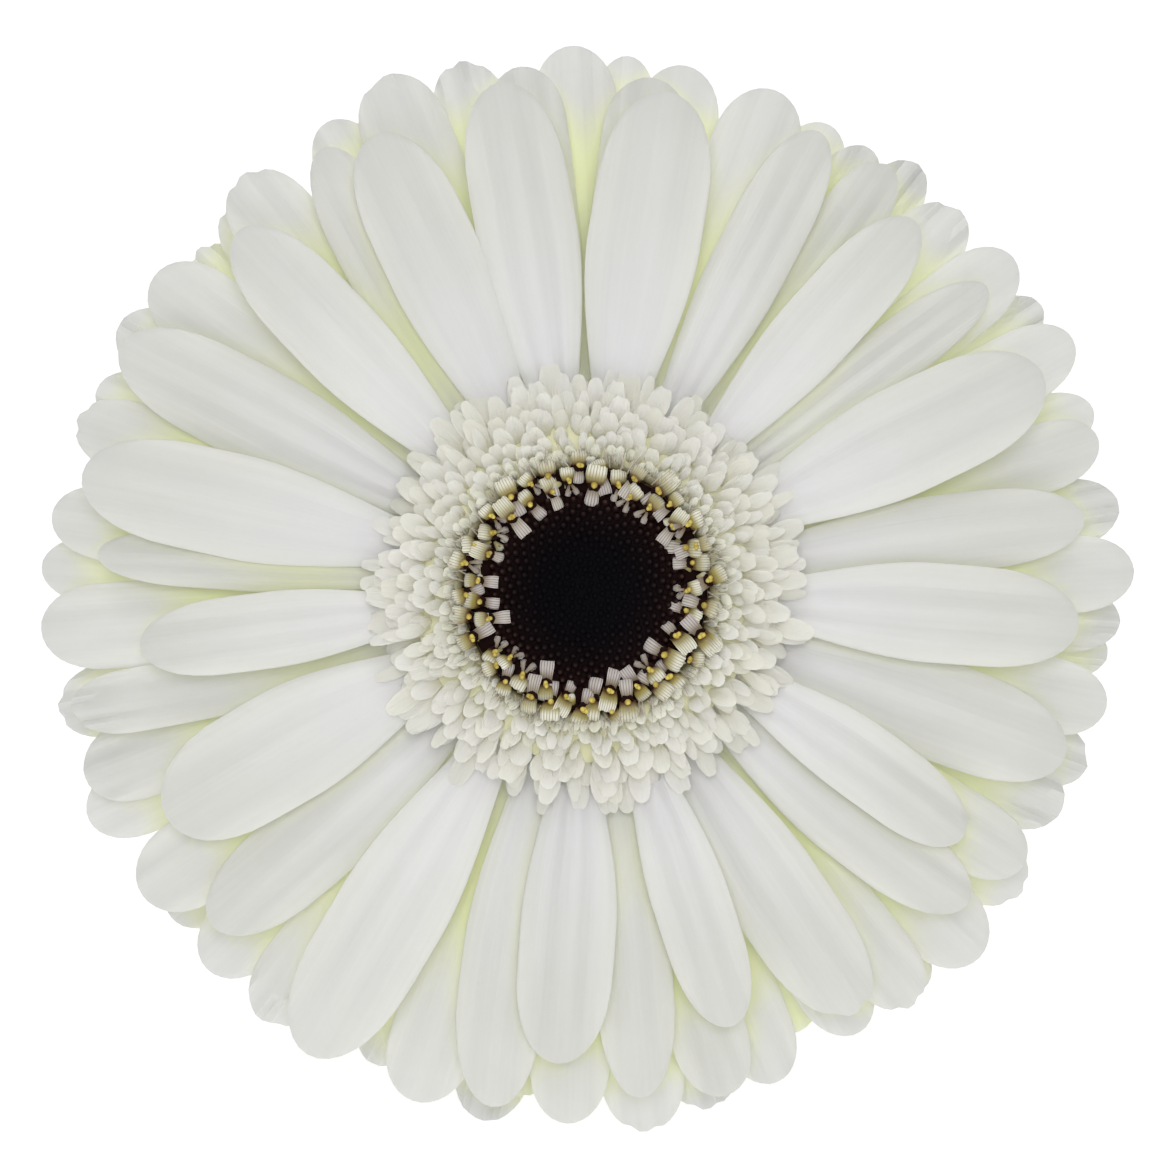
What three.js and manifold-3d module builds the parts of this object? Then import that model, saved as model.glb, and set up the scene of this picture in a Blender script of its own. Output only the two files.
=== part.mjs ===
// A white gerbera daisy with a dark eye, cut with a short length of stem and laid on a surface, face forward.
// Millimetres, +Z up, with the origin on the surface under the middle of the flower.
// The flower is modelled on its own axis, with x to the right and y up across its face and z out of its face,
// and the whole of it is then tipped and set down as one group.

import * as THREE from "three";
import { ParametricGeometry } from "three/addons/geometries/ParametricGeometry.js";
import { mergeVertices } from "three/addons/utils/BufferGeometryUtils.js";
import Module from "manifold-3d";

const wasm = await Module();
wasm.setup();

// How the flower lies: its face looks forward and up by FACE_UP degrees,
// and it rests on two petal tips and the stem's cut end.
const FACE_UP = 15;
const BLOOM_CENTRE = [0, -76.2, 52.28];

// Clearance between pieces that touch, and sides of the round bodies
const GAP = 0.3;
const SIDES = 24;

// Ray florets, the long petals. Each whorl springs from the hub at its own height, rises and arches over.
const HUB_RADIUS = 9.5;
const HUB_BOTTOM = -1.3;
const HUB_TOP = 6.5;
const ROOT_RADIUS = 7.6;
const ROOT_SHARE = 0.22;
const WIDEST_AT = 0.63;
const TIP_ROUNDNESS = 2.4;
const RISE_POWER = 1.6;
const RAY_THICKNESS = 0.8;
const RAY_CROWN = 0.22;
const RAY_LIFT = 0.7;
const RAY_ROLL = 0.07;
const RAY_STATIONS = [0.27, 0.6, 0.84, 0.95, 1];
const RAY_TIP_AT = 0.987;

// Whorls from the top one down: the lower ones' tips begin to close later and are blunter.
// Each petal is [tip azimuth in degrees, reach, width, sweep in degrees from root to tip].
const RAY_WHORLS = [
  {
    height: 5.6,
    rise: 11,
    droop: 4.5,
    closesAt: 0.74,
    petals: [
      [356, 49.0, 9.9, 0],
      [25.3, 50.0, 10.8, 1],
      [48.3, 49.0, 7.8, 1],
      [80.6, 50.0, 11.2, 1],
      [99.6, 51.0, 10.0, 0],
      [115, 49.7, 9.8, 0],
      [134.2, 49.5, 8.8, 0],
      [167, 51.2, 10.4, 1],
      [187.3, 44.5, 7.6, 1],
      [208.4, 47.3, 11.5, 1],
      [239, 53.7, 11.0, 0],
      [266.6, 47.0, 9.5, 0],
      [288.5, 45.6, 7.7, 0],
      [326.8, 44.7, 7.8, -3],
    ],
  },
  {
    height: 4.4,
    rise: 9,
    droop: 4.4,
    closesAt: 0.74,
    petals: [
      [8.2, 50.0, 7.9, -1],
      [37.2, 50.0, 6.2, 0],
      [63, 51.2, 7.7, -2],
      [121, 51.2, 7.5, -2],
      [152.2, 52.3, 9.6, 0],
      [175.8, 48.7, 5.6, 0],
      [222, 50.0, 9.2, -1],
      [259.6, 52.3, 8.8, 6],
      [276.3, 50.8, 7.8, -2],
      [302.8, 50.0, 9.7, 1],
      [320.4, 49.2, 8.2, 3],
      [340.8, 50.5, 10.0, 0],
    ],
  },
  {
    height: 3.2,
    rise: 6.8,
    droop: 4.2,
    closesAt: 0.85,
    petals: [
      [2, 54.8, 7.8, 0],
      [16.4, 53.4, 7.0, 1],
      [27.2, 54.7, 7.6, 0],
      [37.8, 54.1, 7.8, 0],
      [54.6, 52.2, 6.4, 0],
      [69.2, 53.4, 8.8, 0],
      [82.6, 51.6, 8.6, 0],
      [97.2, 52.7, 8.0, 0],
      [111.5, 55.2, 9.0, 0],
      [130, 53.9, 8.8, 0],
      [144, 53.3, 8.7, 0],
      [161.6, 53.7, 7.6, 0],
      [172, 53.9, 7.6, 0],
      [184.2, 54.6, 8.6, 0],
      [193.2, 52.8, 6.4, -2],
      [214.5, 53.8, 9.0, 0],
      [233, 53.8, 8.2, 0],
      [251.3, 53.9, 8.8, 0],
      [268, 53.3, 8.0, 0],
      [285.5, 52.4, 7.8, 0],
      [308.4, 52.9, 7.6, 0],
      [327.8, 51.7, 7.6, 0],
      [347.3, 53.3, 7.8, 0],
    ],
  },
  {
    height: 2.0,
    rise: 4.4,
    droop: 4.0,
    closesAt: 0.85,
    petals: [
      [9, 54.2, 7.2, 0],
      [19.6, 54.0, 6.6, 0],
      [45.4, 53.5, 7.8, 0],
      [57.3, 52.7, 6.6, 0],
      [79.2, 53.6, 8.6, 0],
      [91.4, 54.6, 8.6, 0],
      [103.5, 54.6, 8.0, 0],
      [119, 53.7, 7.5, 0],
      [133, 52.8, 7.6, 0],
      [150.3, 53.9, 8.0, 0],
      [177.6, 54.7, 7.0, 0],
      [200.6, 53.7, 8.4, 0],
      [225, 53.8, 8.4, 0],
      [245.8, 52.1, 7.2, 0],
      [262, 51.5, 7.6, 0],
      [276.5, 54.75, 8.6, 0],
      [291.2, 53.0, 7.6, 0],
      [301.8, 52.2, 7.6, 0],
      [317, 54.1, 8.8, 0],
      [335.2, 52.6, 8.0, 0],
      [356.6, 53.7, 6.8, 0],
    ],
  },
  {
    height: 0.9,
    rise: 1.9,
    droop: 3.6,
    closesAt: 0.85,
    petals: [
      [12.5, 50.5, 7.6, 0],
      [32, 54.1, 6.4, 0],
      [52, 54.4, 6.8, 0],
      [62.4, 52.9, 7.4, 0],
      [85.5, 54.0, 6.6, 0],
      [113, 50.5, 8.0, 0],
      [139, 52.1, 6.6, 0],
      [157.6, 53.3, 7.0, 0],
      [170, 50.5, 8.0, 0],
      [193, 54.6, 7.8, 0],
      [204.8, 55.2, 8.0, 0],
      [218.3, 53.3, 7.6, 0],
      [238, 50.0, 8.0, 0],
      [259, 54.45, 8.0, 0],
      [270, 51.6, 7.6, 0],
      [283.5, 53.8, 8.0, 0],
      [296, 49.4, 7.6, 0],
      [310.3, 52.7, 6.6, 0],
      [325.4, 53.5, 8.2, 0],
      [340.6, 53.6, 7.4, 0],
      [353, 53.0, 6.4, 0],
    ],
  },
];

// Trans florets, the short pale straps round the eye: a domed cushion with rows of strap ends all over it
const CUSHION_PROFILE = [
  [0, 6.8],
  [9.2, 6.8],
  [12.2, 7.9],
  [17.2, 10.3],
  [17.4, 11.4],
  [14.6, 12.6],
  [12.7, 12.4],
  [12.2, 9.6],
  [0, 9.6],
];
// Each row is [how many, tip radius, tip height, root radius, root height].
const TRANS_ROWS = [
  [20, 14.8, 14.0, 13.0, 12.0],
  [24, 16.9, 13.6, 14.6, 12.0],
  [28, 19.2, 12.9, 16.0, 11.6],
  [30, 21.4, 12.0, 16.9, 10.8],
];
const TRANS_WIDTH = 2.9;
const TRANS_THICKNESS = 0.8;
const TRANS_BULGE = 0.5;
const TRANS_CROWN = 0.3;
const TRANS_UNEVENNESS = 0.8;
// Stations along a strap, and its width at each as a share
const TRANS_STATIONS = [0, 0.72, 1];
const TRANS_WIDTHS = [0.35, 1, 0.45];
// How far the florets of a ring or row stray from even spacing, as a share of it
const STRAY = 0.3;

// Disc florets that have opened, in two staggered rings round the eye
const PAD_RADIUS = 11.8;
const PAD_BOTTOM = 9.9;
const PAD_TOP = 11.2;
// Each ring is [how many, radius, height of the mouth].
const FLORET_RINGS = [
  [18, 10.4, 13.1],
  [20, 11.3, 12.9],
];
const FLORET_WIDTH = 1.2;
const FLORET_UNEVENNESS = 0.4;
const PAD_RIM = 0.5;
// Side view of a floret, as [distance along the radius, height over its mouth]:
// inner lip, anthers, outer lip and tube
const FLORET_OUTLINE = [
  [-1.5, 0],
  [-0.8, 0.8],
  [-0.25, 0.7],
  [0, 1.8],
  [0.3, 0.7],
  [1.1, 0.8],
  [1.9, 0.1],
  [0.5, -0.1],
  [0.35, -2.4],
  [-0.35, -2.4],
  [-0.5, -0.1],
];

// The eye: the disc's florets that are still shut, a dark dome of buds
const EYE_RADIUS = 9.4;
const EYE_BOTTOM = 11.5;
const EYE_EDGE = 12.0;
const EYE_CROWN = 12.6;
const EYE_SHOULDER = [0.6, 0.7];
const BUD_COUNT = 48;
const BUD_RADIUS = 0.8;
const BUD_HEIGHT = 0.6;
const GOLDEN_ANGLE = Math.PI * (3 - Math.sqrt(5));

// Involucre, the green cup of bracts that holds the head, from its neck to its rim and down inside
const CUP_OUTSIDE = [
  [3.0, -14.5],
  [3.5, -13.4],
  [5.2, -11.0],
  [7.6, -7.6],
  [9.4, -4.2],
  [10.4, -1.2],
  [10.5, 0],
];
const CUP_INSIDE_RADIUS = 9.8;
const CUP_FLOOR = -1.6;
// Each row is [how many, start and end of the bract along the cup's side as shares, width].
const BRACT_ROWS = [
  [11, 0.3, 0.72, 3.4],
  [13, 0.49, 0.9, 3.4],
  [15, 0.68, 1.0, 3.2],
];
const BRACT_THICKNESS = 0.8;
const BRACT_CROWN = 0.25;
const BRACT_DROP = 0.35;
// Stations along a bract, its width at each as a share, and how far it stands off the cup
const BRACT_STATIONS = [0, 0.6, 1];
const BRACT_WIDTHS = [0.6, 1, 0.2];
const BRACT_OFFS = [-0.6, 0.45, 0.9];

// Stem, a leafless stalk that thickens towards its cut end
const STEM_TOP = -14.8;
const STEM_END = -182.2;
const STEM_BOW = 5;
const STEM_SAG = 1.5;
const STEM_TOP_RADIUS = 2.8;
const STEM_END_RADIUS = 3.8;
const STEM_SIDES = 12;
const STEM_STEPS = 28;
const STEM_POINTS = 8;
const BOW_TURN = 0.75;

const COLOURS = {
  ray: 0xf1f2ec,
  trans: 0xe3e6d8,
  floret: 0xdcd5b8,
  eye: 0x140c0b,
  bract: 0x6f8f4a,
  stem: 0x86a65a,
};

const radians = THREE.MathUtils.degToRad;

// Numbers of the separate series of draws
const LIFT_DRAW = 1;
const ROLL_DRAW = 2;
const TRANS_DRAW = 10;
const TRANS_REACH_DRAW = 20;
const FLORET_DRAW = 30;
const FLORET_HEIGHT_DRAW = 40;
const WHORL_SEED = 50;

// A fixed fraction from 0 to 1 for item i of series k, in place of a random draw
function fraction(i, k) {
  const x = Math.sin(i * 12.9898 + k * 78.233) * 43758.5453;
  return x - Math.floor(x);
}

// The azimuth of floret i of count in a ring, turned on by a share of the spacing
function placeInRing(i, count, shift, series) {
  return ((i + shift + STRAY * (fraction(i, series) - 0.5)) / count) * 2 * Math.PI;
}

// A point at radius r along azimuth turn, moved sideways by across, at a height
function onRay(turn, r, across, height) {
  const x = r * Math.cos(turn) - across * Math.sin(turn);
  const y = r * Math.sin(turn) + across * Math.cos(turn);
  return new THREE.Vector3(x, y, height);
}

// A closed geometry as a solid that can be joined and cut
function solidOf(geometry) {
  const bare = geometry.index ? geometry.toNonIndexed() : geometry.clone();
  bare.deleteAttribute("normal");
  bare.deleteAttribute("uv");
  const merged = mergeVertices(bare, 1e-4);
  const index = [];
  for (let i = 0; i < merged.index.count; i += 3) {
    const [a, b, c] = [0, 1, 2].map((k) => merged.index.getX(i + k));
    if (a !== b && b !== c && a !== c) index.push(a, b, c);
  }
  const corners = merged.attributes.position.array;
  const mesh = new wasm.Mesh({ numProp: 3, vertProperties: corners, triVerts: new Uint32Array(index) });
  return new wasm.Manifold(mesh);
}

// A solid as a named mesh
function meshOf(name, solid, colour, roughness) {
  const { vertProperties, triVerts } = solid.getMesh();
  const geometry = new THREE.BufferGeometry();
  geometry.setAttribute("position", new THREE.BufferAttribute(vertProperties, 3));
  geometry.setIndex(new THREE.BufferAttribute(triVerts, 1));
  geometry.computeVertexNormals();
  const material = new THREE.MeshStandardMaterial({ color: colour, roughness, metalness: 0 });
  const mesh = new THREE.Mesh(geometry, material);
  mesh.name = name;
  return mesh;
}

// A solid turned from a closed profile of [radius, height] points
function turned(profile) {
  const points = profile.map(([r, z]) => new THREE.Vector2(r, z));
  return solidOf(new THREE.LatheGeometry(points, SIDES).rotateX(Math.PI / 2));
}

// A blade: sections across it, each a flat lens that opens from its edges, with both ends pinched shut.
// place(station, v, side) gives the point at that station, v from -1 to 1 across, on the upper or lower side.
function blade(place, halves, spans) {
  const around = halves * 2;
  const surface = (a, t, target) => {
    const step = Math.round(a * around) % around;
    const upper = step < halves;
    const v = upper ? 1 - (2 * step) / halves : -1 + (2 * (step - halves)) / halves;
    target.copy(place(Math.round(t * spans), v, upper ? 1 : -1));
  };
  return solidOf(new ParametricGeometry(surface, around, spans));
}

// Width of a ray floret at share q of its free length, as a share of its full width
function rayOutline(q, closesAt) {
  const opening = THREE.MathUtils.smoothstep(q, 0, WIDEST_AT);
  const closing = Math.max(0, (q - closesAt) / (1 - closesAt));
  return (ROOT_SHARE + (1 - ROOT_SHARE) * opening) * Math.sqrt(1 - closing ** TIP_ROUNDNESS);
}

// One ray floret, rooted inside the hub
function ray(whorl, [azimuth, reach, width, sweep], seed) {
  const lift = (fraction(seed, LIFT_DRAW) - 0.5) * RAY_LIFT;
  const roll = (fraction(seed, ROLL_DRAW) - 0.5) * 2 * RAY_ROLL;
  const last = RAY_STATIONS.length;
  const place = (station, v, side) => {
    const q = station === 0 ? 0 : RAY_STATIONS[station - 1];
    const r = station === 0 ? ROOT_RADIUS : HUB_RADIUS + (reach - HUB_RADIUS) * q;
    const half = (width / 2) * rayOutline(Math.min(q, RAY_TIP_AT), whorl.closesAt);
    const shut = station === 0 || station === last;
    const skin = shut ? 0 : side * (RAY_THICKNESS / 2) * (1 - v * v);
    const rise = whorl.rise * (1 - (1 - q) ** RISE_POWER) - whorl.droop * q ** 3;
    const height = whorl.height + rise + lift * q + half * (roll * v - RAY_CROWN * v * v) + skin;
    const turn = radians(azimuth - sweep * (1 - q));
    return onRay(turn, r, v * half, height);
  };
  return blade(place, 3, last);
}

// All the ray florets, joined at the hub
function rayFlorets() {
  const profile = [
    [0, HUB_BOTTOM],
    [HUB_RADIUS, HUB_BOTTOM],
    [HUB_RADIUS, HUB_TOP],
    [0, HUB_TOP],
  ];
  const hub = turned(profile);
  const petals = RAY_WHORLS.flatMap((whorl, w) =>
    whorl.petals.map((petal, i) => ray(whorl, petal, w * WHORL_SEED + i)),
  );
  return wasm.Manifold.union([hub, ...petals]);
}

// One strap of a trans floret, from its root in the cushion to its rounded tip
function transStrap(turn, [, tipRadius, tipHeight, rootRadius, rootHeight], draw) {
  const reach = tipRadius + (draw - 0.5) * TRANS_UNEVENNESS;
  const place = (station, v, side) => {
    const t = TRANS_STATIONS[station];
    const r = rootRadius + (reach - rootRadius) * t;
    const across = v * (TRANS_WIDTH / 2) * TRANS_WIDTHS[station];
    const skin = station === 1 ? side * (TRANS_THICKNESS / 2) * (1 - v * v) : 0;
    const bulge = Math.sin(t * Math.PI) * TRANS_BULGE - TRANS_CROWN * v * v;
    return onRay(turn, r, across, rootHeight + (tipHeight - rootHeight) * t + bulge + skin);
  };
  return blade(place, 2, TRANS_STATIONS.length - 1);
}

// The cushion of trans florets
function transFlorets() {
  const straps = TRANS_ROWS.flatMap((row, n) =>
    Array.from({ length: row[0] }, (_, i) => {
      const turn = placeInRing(i, row[0], (n % 2) / 2, TRANS_DRAW + n);
      return transStrap(turn, row, fraction(i, TRANS_REACH_DRAW + n));
    }),
  );
  return wasm.Manifold.union([turned(CUSHION_PROFILE), ...straps]);
}

// One open disc floret: a tube with two lips spread over its neighbours and a point of anthers between them
function discFloret(turn, radius, mouth) {
  const outline = new THREE.Shape(FLORET_OUTLINE.map(([along, up]) => new THREE.Vector2(along, up)));
  const floret = new THREE.ExtrudeGeometry(outline, { depth: FLORET_WIDTH, bevelEnabled: false });
  floret.translate(radius, mouth, -FLORET_WIDTH / 2);
  floret.rotateX(Math.PI / 2);
  floret.rotateZ(turn);
  return solidOf(floret);
}

// The rings of open disc florets, on the pad that they grow from
function discFlorets() {
  const profile = [
    [0, PAD_BOTTOM],
    [PAD_RADIUS, PAD_BOTTOM],
    [PAD_RADIUS, PAD_TOP + PAD_RIM],
    [EYE_RADIUS + GAP, PAD_TOP + PAD_RIM],
    [EYE_RADIUS + GAP, PAD_TOP],
    [0, PAD_TOP],
  ];
  const florets = FLORET_RINGS.flatMap(([count, radius, mouth], n) =>
    Array.from({ length: count }, (_, i) => {
      const turn = placeInRing(i, count, n / 2, FLORET_DRAW + n);
      return discFloret(turn, radius, mouth + FLORET_UNEVENNESS * fraction(i, FLORET_HEIGHT_DRAW + n));
    }),
  );
  return wasm.Manifold.union([turned(profile), ...florets]);
}

// The eye of closed buds, set out on a spiral like seeds in a head
function eye() {
  const profile = [
    [0, EYE_BOTTOM],
    [EYE_RADIUS, EYE_BOTTOM],
    [EYE_RADIUS, EYE_EDGE],
    [EYE_RADIUS * EYE_SHOULDER[0], EYE_EDGE + (EYE_CROWN - EYE_EDGE) * EYE_SHOULDER[1]],
    [0, EYE_CROWN],
  ];
  const buds = Array.from({ length: BUD_COUNT }, (_, i) => {
    const r = (EYE_RADIUS - BUD_RADIUS) * Math.sqrt((i + 0.5) / BUD_COUNT);
    const floor = EYE_CROWN - (EYE_CROWN - EYE_EDGE) * (r / EYE_RADIUS) ** 2;
    const bud = new THREE.ConeGeometry(BUD_RADIUS, BUD_HEIGHT * 2, 4);
    bud.rotateX(Math.PI / 2);
    bud.translate(r * Math.cos(i * GOLDEN_ANGLE), r * Math.sin(i * GOLDEN_ANGLE), floor);
    return solidOf(bud);
  });
  return wasm.Manifold.union([turned(profile), ...buds]);
}

// A point [radius, height] at share t along the outside of the cup
function alongCup(t) {
  const steps = CUP_OUTSIDE.length - 1;
  const i = Math.min(Math.floor(t * steps), steps - 1);
  const part = t * steps - i;
  const [a, b] = [CUP_OUTSIDE[i], CUP_OUTSIDE[i + 1]];
  return [a[0] + (b[0] - a[0]) * part, a[1] + (b[1] - a[1]) * part];
}

// One bract: a pointed scale that lies up the side of the cup, with its tip standing off
function bract(turn, [, start, end, width]) {
  const place = (station, v, side) => {
    const [r, z] = alongCup(start + (end - start) * BRACT_STATIONS[station]);
    const across = (-v * width * BRACT_WIDTHS[station]) / 2;
    const skin = station === 1 ? side * (BRACT_THICKNESS / 2) * (1 - v * v) : 0;
    const off = BRACT_OFFS[station];
    return onRay(turn, r + off - BRACT_CROWN * v * v + skin, across, z - off * BRACT_DROP);
  };
  return blade(place, 2, BRACT_STATIONS.length - 1);
}

// The involucre: the cup with its three overlapping rows of bracts
function involucre() {
  const profile = [[0, CUP_OUTSIDE[0][1]], ...CUP_OUTSIDE, [CUP_INSIDE_RADIUS, 0]];
  profile.push([CUP_INSIDE_RADIUS, CUP_FLOOR], [0, CUP_FLOOR]);
  const bracts = BRACT_ROWS.flatMap((row, n) =>
    Array.from({ length: row[0] }, (_, i) => {
      const share = (i + n / BRACT_ROWS.length) / row[0];
      return bract(share * 2 * Math.PI, row);
    }),
  );
  return wasm.Manifold.union([turned(profile), ...bracts]);
}

// The middle of the stem at share t from its top to its cut end
function stemMiddle(t) {
  const bow = Math.sin(Math.PI * t * BOW_TURN) ** 2;
  return new THREE.Vector3(STEM_BOW * bow, -STEM_SAG * t * t, STEM_TOP + (STEM_END - STEM_TOP) * t);
}

// The stem, a round stalk along its gentle bow, thickened towards the cut end
function stem() {
  const points = Array.from({ length: STEM_POINTS + 1 }, (_, i) => stemMiddle(i / STEM_POINTS));
  const path = new THREE.CatmullRomCurve3(points);
  const section = new THREE.Shape().absarc(0, 0, STEM_TOP_RADIUS, 0, 2 * Math.PI);
  const geometry = new THREE.ExtrudeGeometry(section, {
    steps: STEM_STEPS,
    curveSegments: STEM_SIDES / 2,
    extrudePath: path,
    bevelEnabled: false,
  });
  const place = geometry.attributes.position;
  for (let i = 0; i < place.count; i += 1) {
    const t = THREE.MathUtils.clamp((place.getZ(i) - STEM_TOP) / (STEM_END - STEM_TOP), 0, 1);
    const middle = stemMiddle(t);
    const grown = 1 + (STEM_END_RADIUS / STEM_TOP_RADIUS - 1) * t;
    place.setX(i, middle.x + (place.getX(i) - middle.x) * grown);
    place.setY(i, middle.y + (place.getY(i) - middle.y) * grown);
  }
  return solidOf(geometry);
}

const flower = new THREE.Group();
flower.add(
  meshOf("ray_florets", rayFlorets(), COLOURS.ray, 0.55),
  meshOf("trans_florets", transFlorets(), COLOURS.trans, 0.6),
  meshOf("disc_florets", discFlorets(), COLOURS.floret, 0.6),
  meshOf("disc_buds", eye(), COLOURS.eye, 0.45),
  meshOf("involucre", involucre(), COLOURS.bract, 0.6),
  meshOf("stem", stem(), COLOURS.stem, 0.55),
);
flower.rotation.x = radians(90 - FACE_UP);
flower.position.set(...BLOOM_CENTRE);

export default flower;
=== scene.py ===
"""A white gerbera daisy on a short cut stem, laid on a pale floor.

The flower is drawn on its own axis in millimetres, with x to the right and y up across its face and z out of
it. Each finished piece is then tipped and set down in metres, where the solid that it stands for is.
"""

import logging
import math
from collections.abc import Sequence
from dataclasses import dataclass, replace
from enum import Enum, IntEnum

import bpy
import numpy as np
from mathutils import Matrix, Vector


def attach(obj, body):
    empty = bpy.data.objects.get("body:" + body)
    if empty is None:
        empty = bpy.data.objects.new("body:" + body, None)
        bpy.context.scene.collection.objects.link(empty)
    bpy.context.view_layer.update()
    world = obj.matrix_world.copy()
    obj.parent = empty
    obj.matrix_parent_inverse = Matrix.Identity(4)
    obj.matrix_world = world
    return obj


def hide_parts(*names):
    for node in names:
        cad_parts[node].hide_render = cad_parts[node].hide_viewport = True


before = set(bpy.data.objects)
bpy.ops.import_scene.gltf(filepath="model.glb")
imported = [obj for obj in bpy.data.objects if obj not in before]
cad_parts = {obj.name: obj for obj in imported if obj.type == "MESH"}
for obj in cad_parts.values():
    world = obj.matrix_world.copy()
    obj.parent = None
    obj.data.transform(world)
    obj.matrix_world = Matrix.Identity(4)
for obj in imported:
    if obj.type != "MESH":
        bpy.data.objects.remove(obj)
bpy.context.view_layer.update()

LOG = logging.getLogger("gerbera")
MM = 0.001
BODY = "root"

# How the flower lies
FACE_UP = 15.0
BLOOM_CENTRE = (0.0, -76.2, 52.28)
GOLDEN_ANGLE = math.pi * (3.0 - math.sqrt(5.0))

# The [radius, height] points of a turned body
Profile = tuple[tuple[float, float], ...]

# Names of the attributes that the finishes and the down read
ALONG = "along"
ACROSS = "across"
DRAW = "draw"
# shade: painted shade on the petals, the cushion and the lips' throats, and the black of the eye's middle
SHADE = "shade"
DOWNY = "downy"
PLAIN = (ALONG, ACROSS)
SHADED = (ALONG, ACROSS, DRAW, SHADE)

# Series of the random draws that every growth makes
PICK_SERIES = 90
TONE_SERIES = 91

# Seeds set aside for each whorl of petals
WHORL_SEEDS = 50

# Numbers of sockets that share their name with others of their node
RANDOM_LOW, RANDOM_HIGH, RANDOM_SEED, RANDOM_FLOAT = 2, 3, 8, 1
MIX_SHARE, MIX_UNDER, MIX_OVER, MIX_COLOUR = 0, 6, 7, 2
INSTANCE_COUNT = 5

# Steps that a strap's bend is summed in
BEND_STEPS = 200

# Sides of the wide turned bodies, and the angle in degrees past which an edge looks sharp
ROUND_SIDES = 64
SHARP_ANGLE = 65.0

# How late towards the rim the eye's buds lose the black of its middle
EYE_SHADE_POWER = 4

# Swellings of the stalk in each millimetre of it
SWELLINGS_PER_MM = 0.06

# Refractive index of plant tissue
REFRACTION = 1.42

# Values that a noise mostly stays between
NOISE_RANGE = (0.3, 0.7)

# How often a streak breaks along a piece, and how far apart two pieces lie in the pattern
STREAK_BREAKS = 1.3
DRAW_STEP = 37.0

# Where across a petal its painted edge light starts, and how high on its wave a stripe starts
PAINTED_EDGE_LIGHT_FROM = 0.5
STRIPE_FROM = 0.3


def linear(hex_colour: str) -> tuple[float, float, float, float]:
    """Turns an sRGB hex colour to linear light.

    Args:
        hex_colour: a colour such as "#F0F0EA".

    Returns:
        Red, green, blue and an alpha of 1.
    """
    shares = [int(hex_colour[i : i + 2], 16) / 255.0 for i in (1, 3, 5)]
    red, green, blue = (c / 12.92 if c <= 0.04045 else ((c + 0.055) / 1.055) ** 2.4 for c in shares)
    return red, green, blue, 1.0


def fraction(item: int, series: int) -> float:
    """Gives a fixed fraction from 0 to 1 for an item of a series, in place of a random draw.

    Args:
        item: the item's number.
        series: the number of the series of draws.

    Returns:
        The fraction.
    """
    x = math.sin(item * 12.9898 + series * 78.233) * 43758.5453
    return x - math.floor(x)


def add_node(
    tree: bpy.types.NodeTree, kind: str, inputs: dict[int | str, object] | None = None, **settings: object
) -> bpy.types.Node:
    """Adds a node with its settings, values and links.

    Args:
        tree: the tree that gets the node.
        kind: the node's type.
        inputs: a value, a socket, or a node whose first output is meant, by the input's name or number.
        settings: the node's own properties.

    Returns:
        The node.
    """
    node = tree.nodes.new(kind)
    for name, value in settings.items():
        setattr(node, name, value)
    for key, value in (inputs or {}).items():
        source = value.outputs[0] if isinstance(value, bpy.types.Node) else value
        if isinstance(source, bpy.types.NodeSocket):
            tree.links.new(source, node.inputs[key])
        else:
            node.inputs[key].default_value = source
    return node


def resting_place() -> Matrix:
    """Gives the matrix that tips the flower and sets it down, in metres."""
    tipped = Matrix.Rotation(math.radians(90.0 - FACE_UP), 4, "X")
    return Matrix.Translation(Vector(BLOOM_CENTRE) * MM) @ tipped @ Matrix.Scale(MM, 4)


def smoothstep(x: np.ndarray, low: float, high: float) -> np.ndarray:
    """Rises smoothly from 0 at low to 1 at high."""
    t = np.clip((x - low) / (high - low), 0.0, 1.0)
    return t * t * (3.0 - 2.0 * t)


# Shapes


@dataclass
class Surface:
    """A mesh under construction: corners, faces and values for each corner."""

    points: np.ndarray
    faces: list[tuple[int, ...]]
    values: dict[str, np.ndarray]

    @staticmethod
    def joined(parts: list["Surface"]) -> "Surface":
        """Puts several surfaces together as one.

        Args:
            parts: the surfaces, which all carry the same values.

        Returns:
            One surface.
        """
        faces: list[tuple[int, ...]] = []
        start = 0
        for part in parts:
            faces.extend(tuple(corner + start for corner in face) for face in part.faces)
            start += len(part.points)
        values = {name: np.concatenate([part.values[name] for part in parts]) for name in parts[0].values}
        return Surface(np.concatenate([part.points for part in parts]), faces, values)

    def spun(self, axis: str, angle: float) -> "Surface":
        """Turns the surface about one of its axes.

        Args:
            axis: "Y" or "Z".
            angle: the angle in radians.

        Returns:
            The turned surface.
        """
        spin = np.array(Matrix.Rotation(angle, 3, axis))
        return Surface(self.points @ spin.T, self.faces, self.values)

    def mesh(self, name: str) -> bpy.types.Mesh:
        """Makes the Blender mesh, with its values as point attributes.

        Args:
            name: the mesh's name.

        Returns:
            The mesh, smooth, in the flower's own millimetres.
        """
        mesh = bpy.data.meshes.new(name)
        mesh.from_pydata(self.points.tolist(), [], self.faces)
        mesh.shade_smooth()
        mesh.set_sharp_from_angle(angle=math.radians(SHARP_ANGLE))
        for key, column in self.values.items():
            attribute = mesh.attributes.new(key, "FLOAT", "POINT")
            attribute.data.foreach_set("value", column.astype(np.float32).ravel())
        return mesh


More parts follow.
